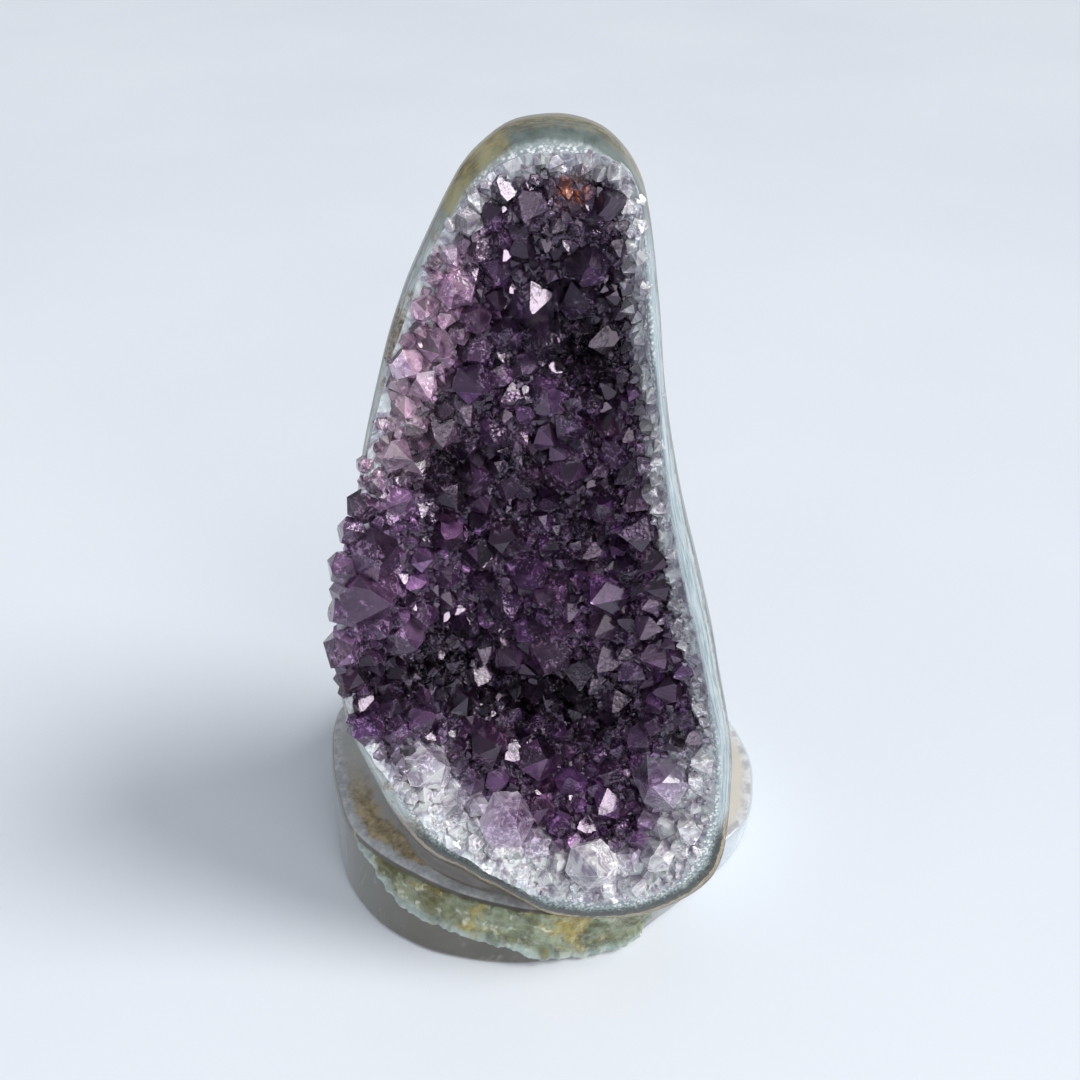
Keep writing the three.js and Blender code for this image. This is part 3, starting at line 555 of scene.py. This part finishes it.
def scatter(count, rmin, rmax, spread, gap_big, margin):
    global cu, cv, cr_, clu, clv
    A = np.array([cu, cv, cr_]).T
    for _ in range(count):
        u, v, r = rng.uniform(-45, 43), rng.uniform(3, 173), rng.uniform(rmin, rmax)
        du, dv = rng.uniform(-spread, spread), rng.uniform(-spread, spread) + 0.08
        if u < -30 and 40 < v < 110:
            du = abs(du) * -0.6 if rng.uniform() < 0.6 else du * 0.4
        rho = float(rho_of(u, v))
        lb = float(left_bulge(u, v)) > 0.5 and u < -28
        rad = math.hypot(u - FC[0], v - FC[1])
        if rho > (1.0 if lb else 1.0 - margin * r * rho / max(rad, 1)):
            continue
        if r < 1.2 and rho > 0.965 and (u < 0 or v > 30):
            continue
        if r > 3.0 and 84 < v < 132 and rng.uniform() < 0.6:
            continue
        if r > 2.3 and v > 115 and rho > 0.72 and u > 0:
            continue
        d = np.hypot(A[:, 0] - u, A[:, 1] - v)
        if (d < gap_big * A[:, 2] + 0.55 * r).any():
            continue
        if not lb:
            pull = 0.5 * float(sm(rho, 0.6, 1)) / max(rad, 1)
            du -= (u - FC[0]) * pull
            dv -= (v - FC[1]) * pull
        A = np.vstack([A, [u, v, r]])
        cu.append(u), cv.append(v), cr_.append(r), clu.append(du), clv.append(dv)


scatter(4000, 3.0, 4.8, 0.40, 0.80, 1.25)
scatter(9000, 1.9, 3.1, 0.55, 0.66, 1.0)
scatter(16000, 1.1, 2.0, 0.65, 0.60, 0.7)
scatter(20000, 0.6, 1.2, 0.75, 0.52, 0.3)
cu, cv, cr_, clu, clv = (np.array(a) for a in (cu, cv, cr_, clu, clv))
NC = len(cu)
print("crystals", NC)


def crystal_field(cu, cv, cr_, clu, clv):
    """Planes of every crystal: six sides, six point faces, a foot."""
    n = len(cu)
    nrm = bed_normal(cu, cv)
    nrm[:, 0] += clu
    nrm[:, 1] += clv
    nrm /= np.linalg.norm(nrm, axis=1, keepdims=True)
    axis = nrm[:, :1] * U + nrm[:, 1:2] * V + nrm[:, 2:] * W
    ref = np.where(np.abs(axis[:, :1]) < 0.8, U, V)
    X = np.cross(ref, axis)
    X /= np.linalg.norm(X, axis=1, keepdims=True)
    Y = np.cross(axis, X)
    depth = np.minimum(2.2 + cr_ * 0.45, 1.0 + 0.3 * np.maximum(lip_distance(cu, cv), 0) + 0.25 * cr_)
    stand = cr_ * (rng.uniform(-0.2, 0.45, n) - 0.35 * sm(np.minimum(1, rho_of(cu, cv)), 0.85, 1) * (cu > -10))
    base = world(cu, cv, bed_h(cu, cv))
    return base, X, Y, axis, depth, stand


BASE, AX, AY, AZ, DEPTH, STAND = crystal_field(cu, cv, cr_, clu, clv)
twist = rng.uniform(0, math.pi / 3, NC)

# a few crystals turn one point face to the window
GLINTS = [(-18.5, 112, 4.3), (-31, 104, 2.4), (16.5, 91, 2.6), (-7.5, 64, 3.2), (-26, 46, 3.0), (33, 42, 4.0), (17, 26, 3.0),
          (9.5, 20, 2.6), (-15, 56, 2.0), (-11.5, 56.5, 1.8), (-30, 58, 2.0), (-23, 61.5, 2.4), (25.5, 52, 2.0), (-13.5, 59.5, 2.2),
          (-5.5, 165, 2.0), (-22.5, 136.5, 2.2), (0, 131.5, 2.2), (3, 130, 2.6), (20.2, 134, 2.0), (16, 126.5, 3.0), (-4, 37, 4.0)]
win = np.array(WINDOW) * 1e6
special = {}
for gu, gv, gr in GLINTS:
    d = np.hypot(cu - gu, cv - gv) + np.abs(cr_ - gr) * 0.8
    k = int(np.argmin(np.where([i in special for i in range(NC)], 1e9, d)))
    special[k] = gr
small = np.nonzero((cr_ > 0.9) & (cr_ < 1.9) & (lip_distance(cu, cv) > 5))[0]
for k in rng.choice(small, 40, replace=False):
    special.setdefault(int(k), 1.0)
for k in special:
    top_ = BASE[k] + AZ[k] * 3
    h = (win - top_) / np.linalg.norm(win - top_) + (CAM - top_) / np.linalg.norm(CAM - top_)
    h /= np.linalg.norm(h)
    # axis = h turned by the point angle towards the old axis
    old = AZ[k]
    side = old - h * np.dot(old, h)
    ln = np.linalg.norm(side)
    side = side / ln if ln > 1e-3 else np.array([0.0, 0.0, 1.0])
    ang = math.radians(51.8)
    ax = h * math.cos(ang) + side * math.sin(ang)
    AZ[k] = ax / np.linalg.norm(ax)
    x = h - AZ[k] * np.dot(h, AZ[k])
    AX[k] = x / np.linalg.norm(x)
    AY[k] = np.cross(AZ[k], AX[k])
    twist[k] = 0.0
    STAND[k] += 0.5

ka = np.arange(6) * math.pi / 3
tilt = math.radians(5.0)
phi = math.radians(51.8)
rc = cr_ * math.cos(math.pi / 6)
planes_n = np.zeros((NC, 13, 3))
planes_d = np.zeros((NC, 13))
for k in range(6):
    c1, s1 = np.cos(ka[k] + twist), np.sin(ka[k] + twist)
    planes_n[:, k] = (AX * (c1 * math.cos(tilt))[:, None] + AY * (s1 * math.cos(tilt))[:, None] - AZ * math.sin(tilt))
    planes_d[:, k] = rc * rng.uniform(0.82, 1.08, NC)
    planes_n[:, 6 + k] = (AX * (c1 * math.sin(phi))[:, None] + AY * (s1 * math.sin(phi))[:, None] + AZ * math.cos(phi))
    apex = STAND + rc * 1.27
    planes_d[:, 6 + k] = apex * math.cos(phi) + (0.0 if k % 2 == 0 else 1.0) * rc * rng.uniform(0.0, 0.16, NC) + rc * rng.uniform(-0.08, 0.05, NC)
for k, g in special.items():
    planes_d[k, 6] -= rc[k] * 0.22          # a broader face
planes_n[:, 12] = -AZ
planes_d[:, 12] = DEPTH

from itertools import combinations
tri = np.array([t for t in combinations(range(13), 3)])
verts, faces, tone_id, hgt, face_id = [], [], [], [], []
facet = []
count = 0
for s in range(0, NC, 250):
    pn, pd = planes_n[s:s + 250], planes_d[s:s + 250]
    A = pn[:, tri]                                   # n, t, 3, 3
    B = pd[:, tri]
    det = np.linalg.det(A)
    ok = np.abs(det) > 1e-5
    A = np.where(ok[..., None, None], A, np.eye(3))
    pts = np.linalg.solve(A, B[..., None])[..., 0]
    inside = (np.einsum("ntk,npk->ntp", pts, pn) <= pd[:, None, :] + 1e-6).all(-1) & ok
    for i in range(len(pn)):
        p = pts[i][inside[i]]
        if len(p) < 4:
            continue
        _, keep = np.unique(np.round(p, 4), axis=0, return_index=True)
        p = p[keep]
        # drop points that nearly coincide
        sel = []
        for q in p:
            if all(np.abs(q - r).max() > 2e-3 for r in sel):
                sel.append(q)
        p = np.array(sel)
        on = np.abs(p @ pn[i].T - pd[i]) < 4e-3
        start = count
        verts.append(p + BASE[s + i])
        hgt.append((p @ AZ[s + i]))
        tone_id += [s + i] * len(p)
        facet += [1.0] * len(p)
        count += len(p)
        extra_v, extra_h = [], []
        for k in range(13):
            idx = np.nonzero(on[:, k])[0]
            if len(idx) < 3:
                continue
            cpt = p[idx].mean(0)
            nk = pn[i, k]
            a = p[idx[0]] - cpt
            a /= np.linalg.norm(a)
            bq = np.cross(nk, a)
            ang = np.arctan2((p[idx] - cpt) @ bq, (p[idx] - cpt) @ a)
            order = idx[np.argsort(ang)]
            if k == 12:
                faces.append([start + j for j in order])
                face_id.append((s + i) * 13 + k)
                continue
            ci = count + len(extra_v)
            extra_v.append(cpt + BASE[s + i])
            extra_h.append(cpt @ AZ[s + i])
            m_ = len(order)
            for j in range(m_):
                faces.append([start + order[j], start + order[(j + 1) % m_], ci])
                face_id.append((s + i) * 13 + k)
        verts.append(np.array(extra_v))
        hgt.append(np.array(extra_h))
        tone_id += [s + i] * len(extra_v)
        facet += [0.0] * len(extra_v)
        count += len(extra_v)
CV = np.concatenate(verts)
HG = np.concatenate(hgt)
TI = np.array(tone_id)
FA = np.array(facet)

# colour of every crystal: foot and point
dl = lip_distance(cu, cv)


def bump2(u, v, a, b, c, d):
    return np.exp(-((u - a) ** 2 / (2 * c * c) + (v - b) ** 2 / (2 * d * d)))


zone_white = (1 - sm(dl, 9.0, 15.0)) * (1 - sm(cv, 30, 52))
zone_edge = (1 - sm(dl, 1.5, 4.5)) * sm(cu, 5, 15) * (1 - sm(cv, 158, 166)) * sm(cv, 24, 40)
zone_pink = (1 - sm(dl, 6, 15)) * sm(-cu, 8, 20) * sm(cv, 100, 116) * (1 - sm(cv, 156, 168))
zone_crown = (1 - sm(dl, 1.5, 5.5)) * sm(cv, 148, 162)
zone_left = (1 - sm(dl, 8, 18)) * sm(-cu, 14, 26) * sm(cv, 62, 72) * (1 - sm(cv, 96, 108))
# painted shade: a mask over the sunken hollows of the bed, where the crystals are darkened almost to black
hollow_shade = np.clip(bump2(cu, cv, 12, 133, 9, 7) + bump2(cu, cv, 4, 50, 18, 9) + 0.9 * bump2(cu, cv, -27, 62, 13, 7)
                 + 0.8 * bump2(cu, cv, -19, 116, 9, 8) + 0.5 * bump2(cu, cv, 2, 100, 16, 10), 0, 1)
grey = sm(cv, 118, 140) * sm(cu, -16, 0)
rnd = rng.uniform(0, 1, (NC, 4))
deep = np.array([srgb("#2f2139"), srgb("#3d2c47"), srgb("#2a1d32"), srgb("#432a41")])[rng.integers(0, 4, NC)]
mid = np.array([srgb("#6f5a7d"), srgb("#634c72"), srgb("#7d6685"), srgb("#6d5672")])[rng.integers(0, 4, NC)]
pale = np.array([srgb("#8f7fa0"), srgb("#84749a"), srgb("#9d8fab")])[rng.integers(0, 3, NC)]
w_ = (rnd[:, :1] ** 1.6)
tip = deep * (1 - w_) + mid * w_
big = sm(cr_, 3.5, 6.0)[:, None]
tip = mixf(tip, mid, big * 0.45 * rnd[:, 1:2])
tip = mixf(tip, srgb("#4e475a"), grey[:, None] * 0.75)
# painted shade: crystals in the hollows drop to about a tenth of their brightness
tip = mixf(tip, tip * 0.11, hollow_shade[:, None])
tip = tip * (0.84 + 0.42 * big)
tip = mixf(tip, np.array([srgb("#a8979f")]), (zone_pink * (0.45 + 0.5 * rnd[:, 2]))[:, None])
tip = mixf(tip, np.array([srgb("#877892")]), (zone_left * (0.4 + 0.45 * rnd[:, 2]))[:, None])
tip = mixf(tip, pale, (zone_white * (0.35 + 0.4 * rnd[:, 3]))[:, None])
# brighter everywhere, less so in the hollows: more painted shade there
tip = tip * (1.55 - 0.5 * hollow_shade[:, None])
tip = tip * (1 - 0.50 * sm(cv, 126, 140) * sm(cu, -16, -6))[:, None]
tip = np.minimum(tip * np.array([0.86, 0.66, 0.80]), 0.62)
# painted shade: each crystal's foot is half as bright as its point, except in the clear white zones
foot = tip * 0.5
clear = np.array([srgb("#ebefef")])
foot = mixf(foot, clear, np.clip(zone_white * 1.15 + zone_crown * 0.8 + zone_edge * 0.75 + zone_pink * 0.35, 0, 1)[:, None])
inner_white = (1 - sm(dl, 6.5, 11.5)) * (1 - sm(cv, 30, 48))
tip = mixf(tip, clear, np.clip(inner_white + zone_crown * 0.75 + zone_edge * (0.55 + 0.45 * rnd[:, 3]), 0, 1)[:, None])
rel = np.clip((HG / (cr_[TI] * 1.1) + 0.35), 0, 1)[:, None]
COL = foot[TI] * (1 - rel) + tip[TI] * rel
pu = (CV - OFFSET - FACE_O) @ U
pv = (CV - OFFSET - FACE_O) @ V
rust = np.exp(-((pu - 6.0) ** 2 + (pv - 164.5) ** 2) / 4.5)[:, None]
COL = mixf(COL, np.array([srgb("#b0601a")]), np.clip(rust * 1.2, 0, 0.9))
facet_tone = np.exp(rng.normal(-0.09, 0.70, NC * 13))
facet_cell = rng.uniform(0, 1, NC * 13)
milk = np.clip(zone_white * 0.8 + zone_crown * 0.6 + zone_pink * 0.5 + zone_edge * 0.6 + 0.25 * rnd[:, 0], 0, 1)[TI]

crystals = mesh_object("amethyst_crystals", CV, faces, False, {"edge": FA, "milk": milk})
sizes = np.array([len(f) for f in faces])
corner_v = np.concatenate([np.asarray(f) for f in faces])
corner_f = np.repeat(np.array(face_id), sizes)
rgba = np.ones((len(corner_v), 4), np.float32)
ft = facet_tone[corner_f]
ft = ft ** (1 - 0.6 * milk[corner_v])
rgba[:, :3] = np.minimum(COL[corner_v] * ft[:, None], 0.85)
crystals.data.attributes.new("tone", "FLOAT_COLOR", "CORNER").data.foreach_set("color", rgba.ravel())
crystals.data.attributes.new("cell", "FLOAT", "CORNER").data.foreach_set("value", facet_cell[corner_f].astype(np.float32))
print("crystal faces", len(faces))


def amethyst(name, clear_w):
    m = Mat(name)
    co = m.coord()
    tone = m.attr("tone", True)
    edge, milk, cell = m.attr("edge"), m.attr("milk"), m.attr("cell")
    veil = m.noise(co, 230.0, 6.0, 0.66, 1.2)
    fine = m.noise(co, 900.0, 6.0, 0.7, 0.6)
    chip = m.voronoi(co, 1150.0, "F1", "Distance")
    dark = m.mix(1.0, tone, (0.36, 0.29, 0.40), "MULTIPLY")
    bright = m.mix(1.0, tone, (2.5, 2.4, 2.5), "MULTIPLY")
    bright = m.mix(0.20, bright, (0.46, 0.43, 0.48))
    col = m.mix(m.ramp(veil, 0.36, 0.60, 0.92, 0.0), tone, dark)
    # internal fractures: bright specks in clusters
    clus = m.ramp(m.noise(co, 140.0, 4.0, 0.6, 0.5), 0.44, 0.60)
    specks = m.math("MULTIPLY", m.ramp(fine, 0.50, 0.58), clus)
    col = m.mix(m.math("MULTIPLY", specks, m.ramp(milk, 0.0, 1.0, 0.80, 0.40)), col, bright)
    # thin bright lines along the facet edges: partly frosted chips, partly painted edge highlight
    col = m.mix(m.math("MULTIPLY", m.ramp(edge, 0.95, 1.0), m.ramp(fine, 0.35, 0.55, 0.05, 0.55)), col, bright)
    tr = m.math("MULTIPLY", m.ramp(milk, 0.0, 0.9, clear_w, clear_w * 0.30), m.ramp(specks, 0.0, 0.8, 1.0, 0.1))
    rough = m.math("ADD", m.ramp(cell, 0.0, 1.0, 0.02, 0.13), m.ramp(fine, 0.45, 0.75, 0.0, 0.16))
    grow = m.noise(m.scale(co, (1.0, 1.0, 2.6)), 620.0, 3.0, 0.55)
    hgt = m.math("ADD", m.math("MULTIPLY", fine, 0.5), m.math("MULTIPLY", grow, 0.35))
    hgt = m.math("ADD", hgt, m.math("MULTIPLY", chip, m.math("MULTIPLY", clus, 1.6)))
    nr = m.bump(hgt, 0.42, 0.00024)
    p = m.shade(col, rough, nr, IOR=1.54, Specular_IOR_Level=0.75, Coat_Weight=0.45, Coat_Roughness=0.02)
    m.link(tr, p.inputs["Transmission Weight"])
    m.link(m.mix(m.ramp(milk, 0.2, 0.7), (0.93, 0.72, 1.0), (1.0, 1.0, 1.0)), p.inputs["Specular Tint"])
    return m.m


crystals.data.materials.append(amethyst("amethyst", 0.55))
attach(crystals, "root")

# the crust the crystals stand on
NB = 360
LB = closed(LIP, NB)
rows = []
for rho in np.linspace(0.04, 1.0, 46):
    q = FC + (LB - FC) * rho
    rows.append((q[:, 0], q[:, 1], bed_h(q[:, 0], q[:, 1], np.full(NB, rho)) + 0.25))
q = FC + (LB - FC) * 1.006
rows.append((q[:, 0], q[:, 1], lip_h(*LB.T) - 0.6))
q = FC + (LB - FC) * 0.97
rows.append((q[:, 0], q[:, 1], lip_h(*LB.T) - 1.8))
for rho in (0.9, 0.8, 0.7, 0.6, 0.5, 0.42, 0.34, 0.26, 0.18, 0.1, 0.04):
    q = FC + (LB - FC) * rho
    rows.append((q[:, 0], q[:, 1], bowl_h(q[:, 0], q[:, 1], np.full(NB, rho)) + 0.6))
P = np.concatenate([world(*r) for r in rows])
uvw = np.concatenate([np.stack(r, 1) for r in rows])
nr_ = len(rows)
P = np.concatenate([P, world(np.array([FC[0]] * 2), np.array([FC[1]] * 2), np.array([float(bed_h(*FC, 0.0)) + 0.25, float(bed_h(*FC, 0.0)) - CRUST + 0.8]))])
front = np.zeros(len(P))
front[:46 * NB] = 1
P += W * (front * (0.9 * fbm(P, 3.0, 3, 5)))[:, None]
uu = np.concatenate([uvw[:, 0], [FC[0]] * 2])
vq = np.concatenate([uvw[:, 1], [FC[1]] * 2])
dlb = lip_distance(uu, vq)
zw = (1 - sm(dlb, 8, 14)) * (1 - sm(vq, 30, 52))
ze = np.clip((1 - sm(dlb, 1.5, 4.5)) * 0.8 + (1 - sm(dlb, 5, 12)) * sm(-uu, 8, 20) * sm(vq, 100, 116) * 0.5, 0, 1)
bc = np.array([srgb("#2a1a33")]) * np.ones((len(P), 1))
bc = mixf(bc, np.array([srgb("#ccd3d6")]), np.clip(zw + ze, 0, 1)[:, None])
crust = mesh_object("crystal_crust", P, outward(P, ring_faces(nr_, NB)), False, {"edge": np.zeros(len(P)), "milk": np.clip(zw + ze, 0, 1), "cell": np.full(len(P), 0.5)}, {"tone": bc})
crust.data.materials.append(amethyst("amethyst_crust", 0.12))
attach(crust, "root")
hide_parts("crystal_druze")

# ------------------------------------------------------------------ agate base
NW = 1040
bt, bu = closed(BASE_TOP, NW), closed(BASE_UNDER, NW)
centre = np.array([0.0, 52.0])
T = np.arange(NW) * 26 / NW
Tp = np.where(T < 15, T + 26, T)
low = np.interp(Tp, PATCH_EDGE[:, 0], PATCH_EDGE[:, 1], left=30, right=30)
jag = np.array([noise.fractal(Vector((t * 2.3, 1.7, 0)), 0.8, 2.2, 4) for t in Tp])
low = np.where(low < 25, low + jag * 0.6, low)
rows, A_edge, A_patch, A_z, A_top = [], [], [], [], []


def slab_ring(t, inset, z):
    q = bu + (bt - bu) * t
    d = q - centre
    d /= np.linalg.norm(d, axis=1, keepdims=True)
    return q - d * inset, d


zs = [(0.0, 0.0, 1.2), (0.0, 0.08, 0.75), (0.02, 0.3, 0.35), (0.05, 0.65, 0.1)] + [(z / 20, z, 0.0) for z in np.linspace(1.1, 18.6, 56)] + \
     [(0.96, 19.1, 0.06), (0.98, 19.5, 0.25), (1.0, 19.8, 0.55), (1.0, 19.95, 0.9), (1.0, 20.0, 1.25)]
pts, inp = [], []
for t, z, inset in zs:
    q, d = slab_ring(t, inset, z)
    depth_in = z - low                                  # above the patch's lower edge
    pm = sm(depth_in, 0.0, 0.9) * (1 - sm(z, 19.0, 19.9)) * (low < 25)
    p3 = np.column_stack([q, np.full(NW, z)])
    rg = fbm(p3[::1], 3.4, 3, 9) if (pm > 0).any() else np.zeros(NW)
    push = pm * (0.7 + 1.0 * rg + 0.5 * np.clip(1 - np.abs(depth_in - 1.2) / 1.4, 0, 1))
    q = q + d * push[:, None]
    pts.append(np.column_stack([q, np.full(NW, z)]))
    A_patch.append(pm)
    A_edge.append(np.full(NW, 0.0))
    A_z.append(np.full(NW, z))
    A_top.append(np.full(NW, 0.0 if z < 19.9 else 1.0))
    inp.append(np.where(low < 25, depth_in, -30))
for k in np.concatenate([np.linspace(0.985, 0.80, 22), np.linspace(0.78, 0.04, 16)]):
    q = centre + (pts[64][:, :2] - centre) * k
    pts.append(np.column_stack([q, np.full(NW, 20.0)]))
    A_patch.append(np.zeros(NW))
    A_edge.append(np.linalg.norm(pts[64][:, :2] - q, axis=1))
    A_z.append(np.full(NW, 20.0))
    A_top.append(np.ones(NW))
    inp.append(np.full(NW, -30.0))
nr_ = len(pts)
P = np.concatenate(pts + [np.array([[0.0, 52.0, 0.0], [0.0, 52.0, 20.0]])]) + OFFSET
cat = lambda a, e: np.concatenate([np.concatenate(a), e])
ang = np.arctan2(P[:, 0] - OFFSET[0], -(P[:, 1] - OFFSET[1] - 52.0))       # 0 front, + right
front_left = sm(-ang, 0.05, 0.5) * (1 - sm(-ang, 1.15, 1.6))
slab = mesh_object("agate_slab", P, outward(P, ring_faces(nr_, NW)), True, {
    "edge": cat(A_edge, [50, 50]), "patch": cat(A_patch, [0, 0]), "h": cat(A_z, [0, 20]), "top": cat(A_top, [0, 1]),
    "inpatch": cat(inp, [-30, -30]), "fl": front_left, "ang": ang})

m = Mat("slab_agate")
co = m.coord()
ed, pa, hh, tp, ip, fl, an = (m.attr(k) for k in ("edge", "patch", "h", "top", "inpatch", "fl", "ang"))
cloud = m.noise(co, 28.0, 5.0, 0.6, 0.5)
fine = m.noise(co, 420.0, 5.0, 0.65)
plume_n = m.noise(co, 150.0, 7.0, 0.68, 1.3)
wisp = m.noise(m.scale(co, (1.0, 2.6, 1.0)), 90.0, 5.0, 0.7, 2.0)
px = m.n("ShaderNodeSeparateXYZ")
m.link(co, px.inputs[0])
side = m.ramp(px.outputs["X"], -0.03, 0.035)
topc = m.mix(side, m.mix(m.ramp(cloud, 0.35, 0.65), srgb("#b1b2af"), srgb("#cfcfcb")), m.mix(m.ramp(cloud, 0.35, 0.65), srgb("#bcb5a8"), srgb("#d8d3c8")))
rim_w = m.math("MULTIPLY", m.ramp(m.math("ADD", ed, m.math("MULTIPLY", plume_n, 3.0)), 2.2, 4.2, 1, 0), 0.75)
topc = m.mix(rim_w, topc, m.mix(m.ramp(fine, 0.35, 0.65), srgb("#a7abb4"), srgb("#dfe2e4")))
pl = m.math("ADD", ed, m.math("MULTIPLY", m.math("SUBTRACT", plume_n, 0.5), 9.0))
plm = m.math("MULTIPLY", m.math("MULTIPLY", m.ramp(pl, 1.6, 3.0), m.ramp(pl, 6.0, 9.5, 1, 0)), fl)
plc = m.mix(m.ramp(fine, 0.3, 0.65), srgb("#76602f"), srgb("#c7b184"))
topc = m.mix(m.math("MULTIPLY", plm, 0.9), topc, plc)
topc = m.mix(m.math("MULTIPLY", m.ramp(wisp, 0.66, 0.72), m.ramp(ed, 1.0, 14.0, 0.55, 0.12)), topc, srgb("#5d564b"))
# wall
wallc = m.mix(m.ramp(cloud, 0.3, 0.7), srgb("#55524b"), srgb("#716d65"))
# painted reflection of the pale floor: a lighter band at the left end of the wall
wallc = m.mix(m.ramp(px.outputs["X"], -0.056, -0.030, 0.85, 0.0), wallc, srgb("#9c9d97"))
# painted light: the wall's right end, on the window side, is pale blue-grey
wallc = m.mix(m.ramp(px.outputs["X"], 0.024, 0.048, 0.0, 1.0), wallc, m.mix(m.ramp(cloud, 0.3, 0.7), srgb("#98a7b0"), srgb("#b6c2c8")))
wallc = m.mix(m.math("MULTIPLY", m.ramp(wisp, 0.55, 0.7), 0.35), wallc, srgb("#a3a49d"))
# rough patch
soft = m.noise(co, 95.0, 4.0, 0.55, 0.6)
green = m.mix(m.ramp(soft, 0.36, 0.62), srgb("#54572c"), srgb("#97a386"))
green = m.mix(m.ramp(px.outputs["X"], -0.030, -0.012, 0.45, 0.0), green, srgb("#6d6530"))
green = m.mix(m.ramp(m.noise(co, 330.0, 5.0, 0.62, 0.4), 0.35, 0.5, 0.55, 0.0), green, srgb("#474d33"))
near = m.math("ADD", m.ramp(m.math("ABSOLUTE", m.math("ADD", px.outputs["X"], 0.0140)), 0.002, 0.009, 0.12, 0.0),
              m.ramp(m.math("ABSOLUTE", m.math("ADD", px.outputs["X"], -0.0060)), 0.002, 0.010, 0.14, 0.0))
yel = m.ramp(m.math("ADD", m.noise(co, 150.0, 4.0, 0.6, 0.5), near), 0.57, 0.72)
green = m.mix(m.math("MULTIPLY", yel, 0.8), green, m.mix(m.ramp(fine, 0.35, 0.65), srgb("#8b7426"), srgb("#bdad55")))
spot = m.noise(co, 300.0, 3.0, 0.5, 0.3)
green = m.mix(m.math("MULTIPLY", m.ramp(spot, 0.56, 0.72, 0.0, 0.75), m.ramp(soft, 0.40, 0.52, 0.25, 1.0)), green, srgb("#e3e6d2"))
lowedge = m.math("ADD", ip, m.math("MULTIPLY", m.math("SUBTRACT", soft, 0.5), -6.0))
green = m.mix(m.ramp(lowedge, 0.6, 4.2, 0.85, 0.0), green, m.mix(m.ramp(fine, 0.3, 0.6), srgb("#8fa3a3"), srgb("#b4c3c1")))
patchm = m.ramp(pa, 0.25, 0.6)
wallc = m.mix(patchm, wallc, green)
rimline = m.math("MULTIPLY", m.ramp(ip, -0.35, 0.0), m.ramp(ip, 0.25, 0.5, 1, 0))
wallc = m.mix(m.math("MULTIPLY", rimline, 0.7), wallc, srgb("#c4b893"))
col = m.mix(tp, wallc, topc)
rough = m.mix(patchm, (0.10, 0.10, 0.10), (0.20, 0.20, 0.20))
rr = m.n("ShaderNodeSeparateColor")
m.link(rough, rr.inputs[0])
nr = m.bump(m.math("MULTIPLY", m.noise(co, 420.0, 4.0, 0.55), patchm), 0.45, 0.0006)
m.shade(col, m.math("ADD", rr.outputs[0], m.ramp(fine, 0.3, 0.7, 0.0, 0.07)), nr, IOR=1.54, Coat_Weight=0.5, Coat_Roughness=0.04)
slab.data.materials.append(m.m)
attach(slab, "root")
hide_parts("agate_base")

bpy.context.view_layer.update()
